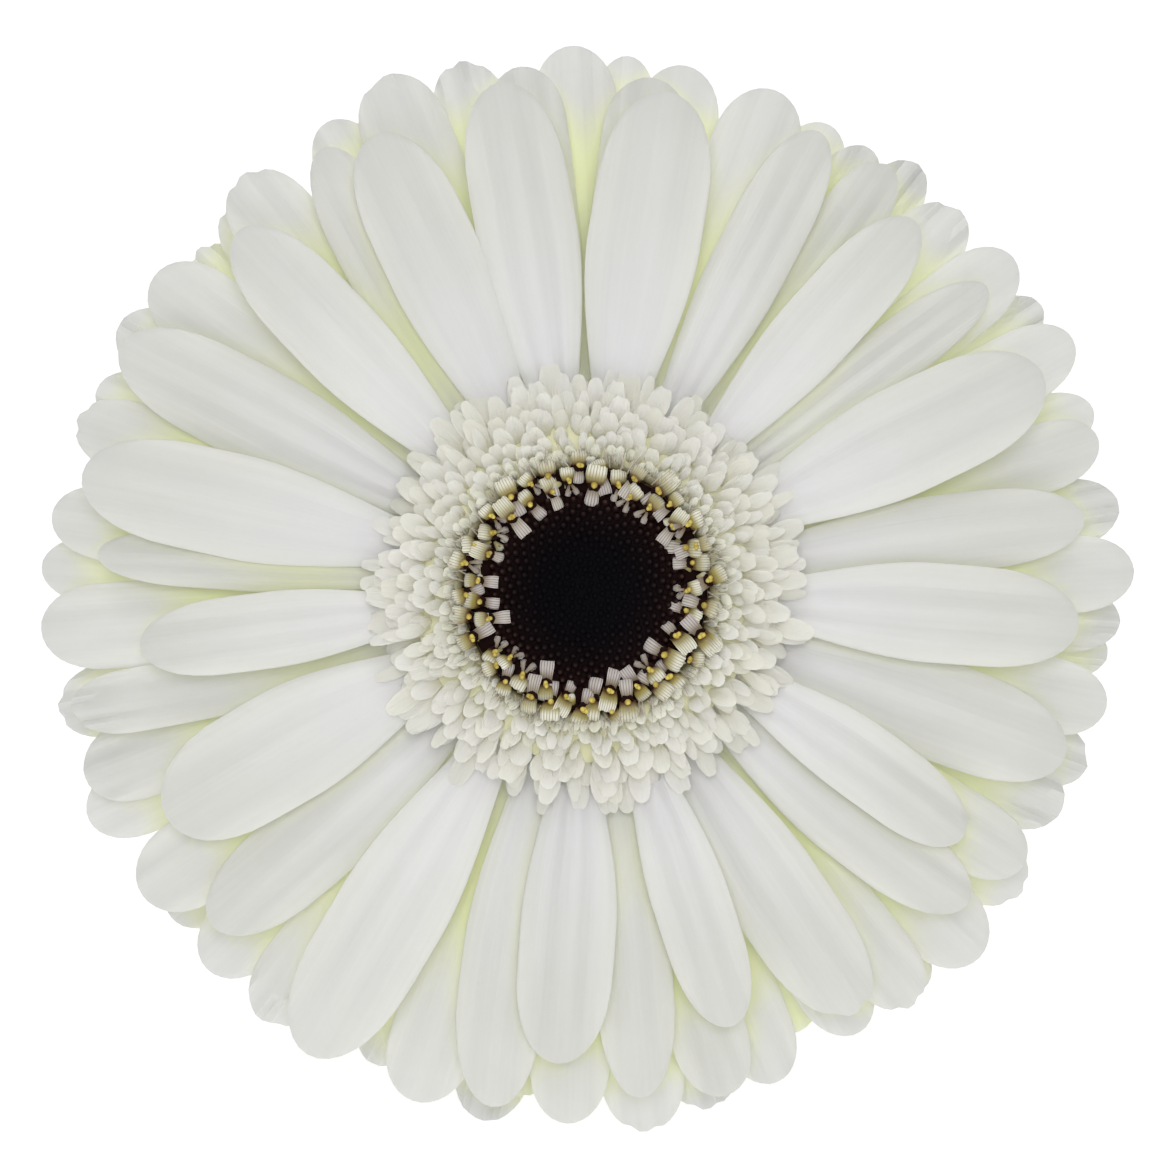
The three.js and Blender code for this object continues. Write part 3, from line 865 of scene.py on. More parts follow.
class Finish(Enum):
    """The finishes of the flower, each named for the living tissue that it is."""

    # Ray petal: thin white tissue, satin, with fine veins along it, and a painted yellow-green shade where
    # neighbours overlap it
    PETAL = Tissue(
        "white_petal_tissue",
        # Painted light and shade: the root lighter where the fringe shades it, the tip darker
        root="#F4F3F8",
        tip="#DEDEDC",
        depth="#F4FBB0",
        glow="#F4F4F3",
        glow_share=0.52,
        ramp=(0.2, 0.95),
        streaks=22.0,
        streak_depth_mm=0.04,
        streak_colour=0.045,
        # Painted light: the edges lighter
        edge="#FAFAF5",
        edge_share=0.6,
    )
    # Fringe strap: the same tissue, some straps whiter and some creamier
    FRINGE = Tissue(
        "fringe_strap_tissue",
        # Painted light: roots lighter and yellower than tips, to lift the shade between the straps
        root="#F9F6D8",
        tip="#F4F4F2",
        glow="#FCFBF8",
        glow_share=0.66,
        ramp=(0.05, 0.65),
        tint="#ECECD8",
        tint_share=0.45,
        streaks=20.0,
        streak_depth_mm=0.06,
    )
    # Inner rows of the fringe: the same tissue with olive brown roots, painted shade that shows round the
    # eye
    INNER_FRINGE = Tissue(
        "inner_fringe_tissue",
        root="#C9BE84",
        tip="#F9F9F5",
        glow="#FBFBF2",
        glow_share=0.6,
        ramp=(0.1, 0.5),
        tint="#E6E6D0",
        tint_share=0.5,
        streaks=14.0,
        streak_depth_mm=0.06,
    )
    # Cushion under the fringe: cream dimmed as painted shade between the straps, with painted brown shade
    # where it walls the eye
    CUSHION = Tissue("fringe_cushion_tissue", root="#CDCCAA", tip="#CDCCAA", depth="#85744A")
    # Outer floret lip: cream tissue with fine greyish stripes, olive towards the base, and painted brown
    # shade in the throat
    LIP = Tissue(
        "floret_lip_tissue",
        root="#A6982C",
        tip="#F5F4E8",
        depth="#5E3E20",
        glow="#ECEAD8",
        glow_share=0.3,
        ramp=(0.42, 0.8),
        tint="#DEDBC2",
        tint_share=0.6,
        stripes=7,
        stripe_colour="#9A927A",
        streak_colour=0.12,
    )
    # Inner floret lip: the same, a greyish lilac
    INNER_LIP = Tissue(
        "inner_floret_lip_tissue",
        root="#7C6436",
        tip="#CCC4C0",
        glow="#D6CEC6",
        glow_share=0.25,
        ramp=(0.15, 0.7),
        tint="#D6D1C0",
        tint_share=0.5,
        stripes=5,
        stripe_colour="#70676A",
        streak_colour=0.12,
    )
    # Anther column: waxy yellow, browner at the foot, powdered with pollen
    ANTHER = Tissue(
        "pollen_anther",
        root="#7A5A1C",
        tip="#CFBC60",
        roughness=0.6,
        tint="#A88E3A",
        tint_share=0.6,
        streaks=5.0,
        streak_colour=0.3,
    )
    # Pappus: dry glassy bristles
    PAPPUS = Tissue(
        "pappus_bristle", root="#B5AA9A", tip="#F4F2EA", roughness=0.35, tint="#9A8D7E", tint_share=0.45
    )
    # Closed bud: waxy and nearly black, with a brown tip that fades towards the eye's middle
    BUD = Tissue(
        "closed_bud_skin",
        root="#241513",
        tip="#4C3631",
        depth="#0B0A0E",
        ramp=(0.55, 1.0),
        roughness=0.8,
        specular=0.03,
        mottle=0.2,
        streak_colour=0.2,
    )
    # Bract and stalk: green skin under fine down
    BRACT = Tissue("green_bract_skin", root="#6F8A45", tip="#4F6B33", roughness=0.6, mottle=0.12)
    STALK = Tissue("green_stalk_skin", root="#A2B878", tip="#8BA55E", roughness=0.5, mottle=0.1)
    # Cut face of the stalk: wet pale pith
    CUT = Tissue("cut_stalk_pith", root="#D6DDB2", tip="#A9BC78", roughness=0.4, mottle=0.1, mottle_mm=1.0)
    # Down: short pale hairs
    DOWN = Tissue("stalk_down_hair", root="#C7CFA6", tip="#EDEFE2", roughness=0.5)

    def material(self) -> bpy.types.Material:
        """Gives the finish's material, made on first use."""
        return bpy.data.materials.get(self.value.name) or self.value.material()


# The flower's parts


class Trait(IntEnum):
    """What differs from petal to petal, each with its own series of draws."""

    LIFT = 1
    ROLL = 2
    TONE = 4
    FORM = 5
    GROOVES = 6
    PHASE = 7
    RIPPLE = 8
    CURL = 9
    SWAY = 10
    CREASE_PHASE = 11
    CREASES = 12


class TipForm(Enum):
    """How a ray petal ends: [depth of the nicks in mm, where across the tip they are]."""

    ROUND = (0.0, ())
    NOTCHED = (0.5, (0.3,))
    TOOTHED = (0.4, (-0.4, 0.18))


def settle(name: str, meshes: list[bpy.types.Mesh], slot: str, *nodes: str) -> bpy.types.Object:
    """Args:
        name: the piece's name.
        meshes: its meshes, in the flower's own millimetres.
        slot: the name of a material slot. Not used.
        nodes: the solids that it stands for.

    Returns:
        The piece.
    """
    parts = [bpy.data.objects.new(name, mesh) for mesh in meshes]
    for part in parts:
        bpy.context.scene.collection.objects.link(part)
    if len(parts) > 1:
        with bpy.context.temp_override(active_object=parts[0], selected_editable_objects=parts):
            bpy.ops.object.join()
    piece = parts[0]
    piece.name = name
    piece.data.name = name
    piece.data.transform(resting_place())
    piece.data.update()
    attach(piece, BODY)
    if nodes:
        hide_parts(*nodes)
    triangles = sum(len(face.vertices) - 2 for face in piece.data.polygons)
    LOG.info("%s: %d triangles", name, triangles)
    return piece


@dataclass(frozen=True)
class Whorl:
    """One layer of ray petals, which springs from the hub at a height, rises and arches over.

    Each petal is [tip azimuth in degrees, reach, width, sweep in degrees from root to tip].
    """

    height: float
    rise: float
    droop: float
    closes_at: float
    petals: tuple[tuple[float, float, float, float], ...]


# The whorls of ray petals, the top one first
RAY_WHORLS = (
    Whorl(
        height=5.6,
        rise=11.0,
        droop=4.5,
        closes_at=0.74,
        petals=(
            (356, 49.0, 9.9, 0), (25.3, 50.0, 10.8, 1), (48.3, 49.0, 7.8, 1), (80.6, 50.0, 11.2, 1),
            (99.6, 51.0, 10.0, 0), (115, 49.7, 9.8, 0), (134.2, 49.5, 8.8, 0), (167, 51.2, 10.4, 1),
            (187.3, 44.5, 7.6, 1), (208.4, 47.3, 11.5, 1), (239, 53.7, 11.0, 0), (266.6, 47.0, 9.5, 0),
            (288.5, 45.6, 7.7, 0), (326.8, 44.7, 7.8, -3),
        ),
    ),
    Whorl(
        height=4.4,
        rise=9.0,
        droop=4.4,
        closes_at=0.74,
        petals=(
            (8.2, 50.0, 7.9, -1), (37.2, 50.0, 6.2, 0), (63, 51.2, 7.7, -2), (121, 51.2, 7.5, -2),
            (152.2, 52.3, 9.6, 0), (175.8, 48.7, 5.6, 0), (222, 50.0, 9.2, -1), (259.6, 52.3, 8.8, 6),
            (276.3, 50.8, 7.8, -2), (302.8, 50.0, 9.7, 1), (320.4, 49.2, 8.2, 3), (340.8, 50.5, 10.0, 0),
        ),
    ),
    Whorl(
        height=3.2,
        rise=6.8,
        droop=4.2,
        closes_at=0.85,
        petals=(
            (2, 54.8, 7.8, 0), (16.4, 53.4, 7.0, 1), (27.2, 54.7, 7.6, 0), (37.8, 54.1, 7.8, 0),
            (54.6, 52.2, 6.4, 0), (69.2, 53.4, 8.8, 0), (82.6, 51.6, 8.6, 0), (97.2, 52.7, 8.0, 0),
            (111.5, 55.2, 9.0, 0), (130, 53.9, 8.8, 0), (144, 53.3, 8.7, 0), (161.6, 53.7, 7.6, 0),
            (172, 53.9, 7.6, 0), (184.2, 54.6, 8.6, 0), (193.2, 52.8, 6.4, -2), (214.5, 53.8, 9.0, 0),
            (233, 53.8, 8.2, 0), (251.3, 53.9, 8.8, 0), (268, 53.3, 8.0, 0), (285.5, 52.4, 7.8, 0),
            (308.4, 52.9, 7.6, 0), (327.8, 51.7, 7.6, 0), (347.3, 53.3, 7.8, 0),
        ),
    ),
    Whorl(
        height=2.0,
        rise=4.4,
        droop=4.0,
        closes_at=0.85,
        petals=(
            (9, 54.2, 7.2, 0), (19.6, 54.0, 6.6, 0), (45.4, 53.5, 7.8, 0), (57.3, 52.7, 6.6, 0),
            (79.2, 53.6, 8.6, 0), (91.4, 54.6, 8.6, 0), (103.5, 54.6, 8.0, 0), (119, 53.7, 7.5, 0),
            (133, 52.8, 7.6, 0), (150.3, 53.9, 8.0, 0), (177.6, 54.7, 7.0, 0), (200.6, 53.7, 8.4, 0),
            (225, 53.8, 8.4, 0), (245.8, 52.1, 7.2, 0), (262, 51.5, 7.6, 0), (276.5, 54.75, 8.6, 0),
            (291.2, 53.0, 7.6, 0), (301.8, 52.2, 7.6, 0), (317, 54.1, 8.8, 0), (335.2, 52.6, 8.0, 0),
            (356.6, 53.7, 6.8, 0),
        ),
    ),
    Whorl(
        height=0.9,
        rise=1.9,
        droop=3.6,
        closes_at=0.85,
        petals=(
            (12.5, 50.5, 7.6, 0), (32, 54.1, 6.4, 0), (52, 54.4, 6.8, 0), (62.4, 52.9, 7.4, 0),
            (85.5, 54.0, 6.6, 0), (113, 50.5, 8.0, 0), (139, 52.1, 6.6, 0), (157.6, 53.3, 7.0, 0),
            (170, 50.5, 8.0, 0), (193, 54.6, 7.8, 0), (204.8, 55.2, 8.0, 0), (218.3, 53.3, 7.6, 0),
            (238, 50.0, 8.0, 0), (259, 54.45, 8.0, 0), (270, 51.6, 7.6, 0), (283.5, 53.8, 8.0, 0),
            (296, 49.4, 7.6, 0), (310.3, 52.7, 6.6, 0), (325.4, 53.5, 8.2, 0), (340.6, 53.6, 7.4, 0),
            (353, 53.0, 6.4, 0),
        ),
    ),
)


@dataclass
class RayFlorets:
    """The long petals in their whorls, on the hub that they grow from."""

    # Hub and roots
    hub_radius: float = 9.5
    hub_bottom: float = -1.3
    hub_top: float = 6.5
    hub_sides: int = 48
    root_radius: float = 7.6

    # Outline, arch and thickness
    root_share: float = 0.22
    widest_at: float = 0.63
    tip_roundness: float = 2.4
    rise_power: float = 1.6
    crown: float = 0.33
    lift: float = 0.7
    roll: float = 0.07
    sideways: float = 0.7
    thickness: float = 0.36
    edge_thinning: float = 0.75
    tip_thinning: float = 0.5

    # Grooves, ripples and curled tips
    groove_depth: float = 0.4
    groove_least: float = 0.3
    groove_spread: float = 1.2
    groove_fade: float = 0.6
    groove_at: float = 0.4
    groove_width: float = 0.19
    groove_start: tuple[float, float] = (0.08, 0.3)
    groove_end: tuple[float, float] = (0.8, 1.0)
    ripple: float = 0.5
    ripple_middle: float = 0.3
    ripple_waves: float = 2.4
    edge_waves: float = 2.2
    edge_share: float = 0.5
    tip_curl: float = 1.5
    least_curl: float = 0.4
    curl_from: tuple[float, float] = (0.82, 1.04)

    # Creases and nicks at the tip
    creased: float = 0.22
    creases: float = 4.2
    creases_from: tuple[float, float] = (0.78, 1.0)
    toothed_odds: float = 0.06
    nicked_odds: float = 0.12
    nick_width: float = 0.13

    # Mesh
    rows: int = 24
    columns: int = 17
    tip_crowding: float = 1.5

    # Painted shade that petals lay on those under them
    shadow_reach: float = 1.9
    shadow_from: tuple[float, float] = (0.55, 1.85)
    shadow_starts: tuple[float, float] = (19.0, 29.0)
    shadow_at_start: float = 0.6
    shadow_ends: tuple[float, float] = (46.0, 54.0)
    shadow_at_end: float = 0.5

    def opening(self, q: np.ndarray) -> np.ndarray:
        """Gives the petal's width at share q of its length, before the tip closes it, as a share."""
        return self.root_share + (1.0 - self.root_share) * smoothstep(q, 0.0, self.widest_at)

    def outline(self, whorl: Whorl, q: np.ndarray) -> np.ndarray:
        """Gives the petal's width at share q of its length as a share of its full width."""
        closing = np.clip((q - whorl.closes_at) / (1.0 - whorl.closes_at), 0.0, 1.0)
        return self.opening(q) * np.sqrt(1.0 - closing**self.tip_roundness)

    def height(self, whorl: Whorl, q: np.ndarray) -> np.ndarray:
        """Gives a whorl's height over the face's plane at share q of its petals' length."""
        return whorl.height + whorl.rise * (1.0 - (1.0 - q) ** self.rise_power) - whorl.droop * q**3

    def tip_form(self, level: int, seed: int) -> TipForm:
        """Picks how a petal ends.

        Args:
            level: its whorl. Nicks are commoner on the outer ones.
            seed: the petal's number.

        Returns:
            The form of its tip.
        """
        draw = fraction(seed, Trait.FORM)
        if draw < self.toothed_odds * level:
            return TipForm.TOOTHED
        return TipForm.NOTCHED if draw < self.nicked_odds * level else TipForm.ROUND

    def petal(self, level: int, number: int) -> Surface:
        """Draws one petal.

        Args:
            level: its whorl, the top one first.
            number: its place in the whorl.

        Returns:
            The petal, rooted inside the hub, its underside without the painted shade.
        """
        whorl = RAY_WHORLS[level]
        azimuth, reach, width, sweep = whorl.petals[number]
        seed = level * WHORL_SEEDS + number
        nick, places = self.tip_form(level, seed).value
        v = np.sin(np.linspace(-math.pi / 2, math.pi / 2, self.columns))
        end = whorl.closes_at + (1.0 - whorl.closes_at) * (1.0 - v * v) ** (1.0 / self.tip_roundness)
        for place in places:
            end -= nick / (reach - self.hub_radius) * np.exp(-(((v - place) / self.nick_width) ** 2))
        s = 1.0 - (1.0 - np.linspace(0.0, 1.0, self.rows)) ** self.tip_crowding
        q = np.vstack([np.zeros(self.columns), s[:, None] * end[None, :]])
        rooted = np.zeros(self.rows + 1, dtype=bool)
        rooted[0] = True
        across = np.repeat(v[None, :], self.rows + 1, 0)
        half = 0.5 * width * self.opening(q)
        r = self.hub_radius + (reach - self.hub_radius) * q
        r[rooted] = self.root_radius
        z = self.height(whorl, q) + half * self.roll * 2.0 * (fraction(seed, Trait.ROLL) - 0.5) * across
        z += (fraction(seed, Trait.LIFT) - 0.5) * self.lift * q - half * self.crown * across**2
        z += self.relief(q, across, seed) + self.crease(level, q, across, seed)
        turn = np.radians(azimuth - sweep * (1.0 - q))
        side = across * half + self.sway(q, seed)
        x = r * np.cos(turn) - side * np.sin(turn)
        y = r * np.sin(turn) + side * np.cos(turn)
        middle = np.stack([x, y, z], axis=-1)
        lens = 0.5 * self.thickness * (1.0 - self.edge_thinning * across**4) * (1.0 - self.tip_thinning * q)
        grids = {ALONG: q, ACROSS: across, DRAW: np.full(q.shape, fraction(seed, Trait.TONE))}
        # Painted shade from the petals above, on the upper side only
        grids[SHADE] = self.cast(level, middle)
        petal = blade(middle, lens, grids)
        petal.values[SHADE][q.size :] = 0.0
        return petal

    def relief(self, q: np.ndarray, v: np.ndarray, seed: int) -> np.ndarray:
        """Gives the petal's low relief: two grooves, a slow ripple, an uneven edge and a curled tip.

        Args:
            q: share of the length.
            v: place across, from -1 to 1.
            seed: the petal's number.

        Returns:
            Heights to add.
        """
        fade = smoothstep(q, *self.groove_start)
        fade *= 1.0 - self.groove_fade * smoothstep(q, *self.groove_end)
        places = (-self.groove_at, self.groove_at)
        grooves = sum(np.exp(-(((v - at) / self.groove_width) ** 2)) for at in places)
        deep = self.groove_depth * (self.groove_least + self.groove_spread * fraction(seed, Trait.GROOVES))
        phase = 2.0 * math.pi * fraction(seed, Trait.PHASE)
        slow = np.sin(self.ripple_waves * math.pi * q + phase)
        ripple = self.ripple * (fraction(seed, Trait.RIPPLE) - self.ripple_middle) * q**2 * slow
        uneven = np.sin(math.pi * (self.edge_waves * q + v) + 2.0 * phase)
        wave = self.edge_share * self.ripple * np.abs(v) ** 3 * q * uneven
        curled = self.least_curl + (1.0 - self.least_curl) * fraction(seed, Trait.CURL)
        curl = -self.tip_curl * curled * smoothstep(q, *self.curl_from) ** 2
        return ripple + wave + curl - deep * fade * grooves

    def crease(self, level: int, q: np.ndarray, v: np.ndarray, seed: int) -> np.ndarray:
        """Gives the small creases at a petal's end.

        Args:
            level: its whorl. They are deeper on the outer ones.
            q: share of the length.
            v: place across, from -1 to 1.
            seed: the petal's number.

        Returns:
            Heights to add.
        """
        phase = 2.0 * math.pi * fraction(seed, Trait.CREASE_PHASE)
        waves = np.sin(self.creases * math.pi * v + phase) * smoothstep(q, *self.creases_from)
        return self.creased * level * fraction(seed, Trait.CREASES) * waves

    def sway(self, q: np.ndarray, seed: int) -> np.ndarray:
        """Gives the petal's slight bend to one side."""
        return self.sideways * (fraction(seed, Trait.SWAY) - 0.5) * np.sin(math.pi * q)

    def cast(self, level: int, middle: np.ndarray) -> np.ndarray:
        """Works out how much painted shade the petals above lay on each point.

        Args:
            level: the whorl that the points are on.
            middle: the points.

        Returns:
            0 in the open to 1 under another petal.
        """
        x, y = middle[..., 0], middle[..., 1]
        r = np.hypot(x, y)
        nearness = np.zeros(r.shape)
        for whorl in RAY_WHORLS[:level]:
            for azimuth, reach, width, sweep in whorl.petals:
                q = np.clip((r - self.hub_radius) / (reach - self.hub_radius), 0.0, 1.0)
                turn = np.radians(azimuth - sweep * (1.0 - q))
                side = -x * np.sin(turn) + y * np.cos(turn)
                ahead = x * np.cos(turn) + y * np.sin(turn) > 0.0
                off = np.maximum(np.abs(side) - 0.5 * width * self.outline(whorl, q), 0.0)
                away = np.hypot(off, np.maximum(r - reach, 0.0))
                nearness += np.where(ahead, np.exp(-away / self.shadow_reach), 0.0)
        starts = self.shadow_at_start + (1.0 - self.shadow_at_start) * smoothstep(r, *self.shadow_starts)
        ends = 1.0 - (1.0 - self.shadow_at_end) * smoothstep(r, *self.shadow_ends)
        return smoothstep(nearness, *self.shadow_from) * starts * ends

    def build(self) -> bpy.types.Object:
        """Builds the petals and their hub as one piece.

        Returns:
            The piece.
        """
        top, bottom = self.hub_top, self.hub_bottom
        profile = [(0.0, bottom), (self.hub_radius, bottom), (self.hub_radius, top), (0.0, top)]
        parts = [turned(profile, self.hub_sides, SHADED)]
        for level, whorl in enumerate(RAY_WHORLS):
            parts += [self.petal(level, number) for number in range(len(whorl.petals))]
        mesh = Surface.joined(parts).mesh("petals")
        mesh.materials.append(Finish.PETAL.material())
        return settle("petals", [mesh], "ray_petal", "ray_florets")


@dataclass
class Fringe:
    """The short trans florets round the eye, in rows on their cushion, and the bristles inside them.

    Each row is [how many, root radius, root height, length, width, first and last angle over the face]. Each
    row of bristles is [how many, root radius, root height, angle over the face].
    """

    rows: tuple[tuple[int, float, float, float, float, float, float], ...] = (
        (68, 12.6, 12.0, 1.9, 1.05, 70.0, 28.0),
        (78, 13.1, 12.2, 2.3, 1.2, 72.0, 28.0),
        (80, 13.7, 12.2, 2.7, 1.4, 68.0, 24.0),
        (60, 14.5, 11.8, 3.2, 1.75, 64.0, 22.0),
        (62, 15.1, 11.5, 3.5, 1.85, 58.0, 14.0),
        (64, 15.7, 11.2, 3.8, 1.95, 52.0, 8.0),
        (64, 16.3, 10.9, 4.1, 2.0, 46.0, 2.0),
        (60, 16.8, 10.6, 4.6, 2.0, 36.0, -18.0),
        (46, 16.9, 10.2, 5.4, 2.0, 24.0, -24.0),
    )
    inner_rows: int = 2
    cushion: Profile = (
        (0.0, 6.8), (9.2, 6.8), (12.2, 7.9), (17.0, 10.4), (17.1, 11.2), (14.6, 12.3), (12.9, 12.1),
        (12.3, 11.7), (12.1, 9.7), (0.0, 9.7),
    )
    painted_shade_from: tuple[float, float] = (12.1, 13.2)
    bristle_rows: tuple[tuple[int, float, float, float], ...] = (
        (110, 12.2, 12.9, 34.0),
        (130, 12.7, 13.1, 44.0),
        (110, 13.3, 13.0, 58.0),
    )

    def straps(self, length: float, width: float, first: float, last: float) -> list[Surface]:
        """Draws the strap's variants.

        Args:
            length: the strap's length.
            width: its full width.
            first: its angle over the face at the root, in degrees.
            last: its angle at the tip.

        Returns:
            Five variants: blunt, nicked, cupped, hooded and narrow.
        """
        forms = (
            Strap(length, width, first, last, end_share=0.8, cup=-0.1),
            Strap(length * 1.03, width * 1.05, first, last, end_share=0.85, cup=0.05, nick=0.06),
            Strap(length * 1.06, width, first, last + 12, end_share=0.75, cup=0.25),
            Strap(length * 0.92, width * 0.9, first, last - 24, end_share=0.8, cup=-0.35),
            Strap(length * 1.12, width * 0.66, first, last + 4, end_share=0.7, twist=0.35),
        )
        return [replace(form, thickness=0.13, rounding=1.0, rows=6, columns=7).surface() for form in forms]

    def build(self, ring: Growth) -> bpy.types.Object:
        """Builds the fringe as one piece.

        Args:
            ring: the growth that sets straps out.

        Returns:
            The piece.
        """
        finishes = [Finish.INNER_FRINGE.material()] * self.inner_rows
        finishes += [Finish.FRINGE.material()] * (len(self.rows) - self.inner_rows)
        cushion = turned(self.cushion, ROUND_SIDES, SHADED)
        out = np.hypot(cushion.points[:, 0], cushion.points[:, 1])
        # Painted brown shade on the cushion's wall round the eye
        cushion.values[SHADE] = 1.0 - smoothstep(out, *self.painted_shade_from)
        base = cushion.mesh("cushion")
        base.materials.append(Finish.CUSHION.material())
        meshes = [base]
        for number, (count, radius, height, length, width, first, last) in enumerate(self.rows):
            values = {
                "Count": count,
                "Radius": radius,
                "Height": height,
                "Start": 0.5 * (number % 2),
                "Stray": 0.6,
                "Radius spread": 0.7,
                "Height spread": 0.5,
                "Lean spread": 0.35,
                "Roll spread": 0.6,
                "Yaw spread": 0.35,
                "Size": 1.0,
                "Size spread": 0.3,
                "Seed": 11 + number,
                "Finish": finishes[number],
            }
            meshes.append(ring.run(None, self.straps(length, width, first, last), values))
        return settle("fringe", meshes, "trans_petal", "trans_florets")

    def bristles(self, ring: Growth) -> bpy.types.Object:
        """Builds the pappus bristles between the eye and the fringe as one piece.

        Args:
            ring: the growth that sets bristles out.

        Returns:
            The piece.
        """
        bristle = spike(length=2.5, radius=0.07, sides=4)
        meshes = []
        for number, (count, radius, height, lean) in enumerate(self.bristle_rows):
            values = {
                "Count": count,
                "Radius": radius,
                "Height": height,
                "Stray": 1.0,
                "Radius spread": 0.6,
                "Lean": math.radians(lean - 90.0),
                "Lean spread": 0.7,
                "Yaw spread": 1.2,
                "Size": 1.0,
                "Size spread": 0.5,
                "Seed": 41 + number,
                "Finish": Finish.PAPPUS.material(),
            }
            meshes.append(ring.run(None, [bristle], values))
        return settle("bristles", meshes, "trans_petal")


@dataclass
class DiscFlorets:
    """The open disc florets in two staggered rings: pad, tubes, lips and anthers.

    Each ring is [how many, radius, height of the mouth]. The profiles are [radius, height] points.
    """

    rings: tuple[tuple[int, float, float], ...] = ((29, 10.3, 12.9), (29, 11.8, 13.2))
    lip_height: float = -0.2
    column_height: float = 0.1
    tube_height: float = -0.1
    stray_curls: int = 34
    stray_drop: float = 0.4
    # The pad is the disc's dark tissue; its raised outer rim is a dark wall of painted shade between the
    # florets and the fringe
    pad: Profile = (
        (0.0, 9.9), (11.9, 9.9), (12.0, 11.5), (11.8, 11.7), (9.7, 11.7), (9.7, 11.2), (0.0, 11.2),
    )
    tube: Profile = ((0.0, -2.2), (0.45, -2.2), (0.5, -0.4), (0.62, 0.15), (0.0, 0.2))
    column: Profile = (
        (0.0, -1.0), (0.22, -0.9), (0.27, -0.3), (0.31, 0.25), (0.3, 0.6), (0.17, 0.8), (0.0, 0.82),
    )
    lobe: Profile = ((0.0, -0.3), (0.16, -0.25), (0.25, 0.05), (0.18, 0.26), (0.0, 0.3))
    lobe_height: float = 0.7
    anther_tilt: float = 16.0
    anther_offset: tuple[float, float, float] = (0.24, 0.0, -0.1)
    throat: tuple[float, float] = (0.26, 0.46)
    fork: tuple[float, float] = (0.45, -0.35)

    def placed(
        self,
        ring: Growth,
        number: int,
        shapes: list[Surface],
        finish: Finish,
        height: float,
        yaw: float = 0.0,
    ) -> bpy.types.Mesh:
        """Sets shapes out on one of the rings.

        Args:
            ring: the growth that sets them out.
            number: which ring.
            shapes: the shapes.
            finish: their finish.
            height: their height over the mouth.
            yaw: how far they are turned, 0 outward.

        Returns:
            A mesh.
        """
        count, radius, mouth = self.rings[number]
        values = {
            "Count": count,
            "Radius": radius,
            "Height": mouth + height,
            "Start": 0.5 * number,
            "Stray": 0.45,
            "Radius spread": 0.9,
            "Height spread": 0.5,
            "Lean spread": 0.45,
            "Roll spread": 0.6,
            "Yaw spread": 1.0,
            "Size": 1.0,
            "Size spread": 0.24,
            "Seed": 61 + number,
            "Finish": finish.material(),
        }
        return ring.run(None, [shape.spun("Z", yaw) for shape in shapes], values)

    def anther(self, size: float, lobes: tuple[tuple[float, float], ...]) -> Surface:
        """Draws an anther column with its knobbly end, leaning outward.

        Args:
            size: its size against a middling one.
            lobes: how far each lobe of the end stands to the side and outward, in mm.

        Returns:
            The column.
        """
        parts = [turned(self.column, 7, PLAIN)]
        for side, out in lobes:
            end = turned(self.lobe, 7, PLAIN)
            end.points += (out, side, self.lobe_height)
            parts.append(end)
        whole = Surface.joined(parts)
        whole.values[ALONG] = smoothstep(whole.points[:, 2], 0.1, 0.85)
        whole.points *= size
        whole.points += self.anther_offset
        return whole.spun("Y", math.radians(-self.anther_tilt))

    def strays(self, ring: Growth, curl: Surface) -> bpy.types.Mesh:
        """Sets curled lips out between the two rings, turned every way.

        Args:
            ring: the growth that sets them out.
            curl: one curled lip.

        Returns:
            A mesh.
        """
        values = {
            "Count": self.stray_curls,
            "Radius": 0.5 * (self.rings[0][1] + self.rings[1][1]),
            "Height": self.rings[0][2] - self.stray_drop,
            "Stray": 1.4,
            "Radius spread": 1.6,
            "Height spread": 0.6,
            "Lean spread": 0.8,
            "Yaw spread": 2.0 * math.pi,
            "Size": 0.8,
            "Size spread": 0.4,
            "Seed": 66,
            "Finish": Finish.LIP.material(),
        }
        hood = Strap(1.7, 1.0, 60, -60, end_share=0.9, cup=-0.4, thickness=0.14, columns=7)
        return ring.run(None, [curl, hood.surface()], values)

    def outside(self) -> list[Surface]:
        """Draws the outer lip's variants: flat, arched, dished, rolled back and twisted.

        Returns:
            The lips, with painted brown shade at the throat.
        """
        toothed = {"widest_at": 0.6, "end_share": 0.95, "nick": 0.05, "teeth": 3}
        forms = (
            Strap(2.4, 1.9, 62, -30, cup=-0.16, **toothed),
            Strap(2.2, 1.8, 68, -58, cup=-0.3, **(toothed | {"widest_at": 0.55, "nick": 0.06})),
            Strap(2.6, 1.8, 54, -10, cup=0.2, **(toothed | {"end_share": 0.9})),
            Strap(2.7, 1.6, 66, -120, cup=-0.2, widest_at=0.6, end_share=0.9, late_bend=1.6),
            Strap(2.0, 1.7, 76, -20, cup=-0.35, twist=0.3, **toothed),
        )
        shared = {"root_share": 0.78, "thickness": 0.16, "columns": 9}
        lips = [replace(form, **shared).surface() for form in forms]
        for lip in lips:
            # Painted brown shade in the throat
            lip.values[SHADE] = 1.0 - smoothstep(lip.values[ALONG], *self.throat)
        return lips

    def inside(self, curl: Surface) -> list[Surface]:
        """Draws the inner lip's variants: flat, arched, dished and forked.

        Args:
            curl: one curled lip. Two of them make the forked one.

        Returns:
            The lips.
        """
        forms = (
            Strap(2.1, 1.3, 32, -40, widest_at=0.75, cup=-0.2),
            Strap(2.0, 1.15, 36, -60, widest_at=0.75, cup=-0.3),
            Strap(2.2, 1.4, 26, -26, widest_at=0.8, cup=0.15),
        )
        shared = {"root_share": 0.75, "end_share": 0.95, "thickness": 0.14, "columns": 7}
        lips = [replace(form, **shared).surface() for form in forms]
        return [*lips, Surface.joined([curl.spun("Z", yaw) for yaw in self.fork])]

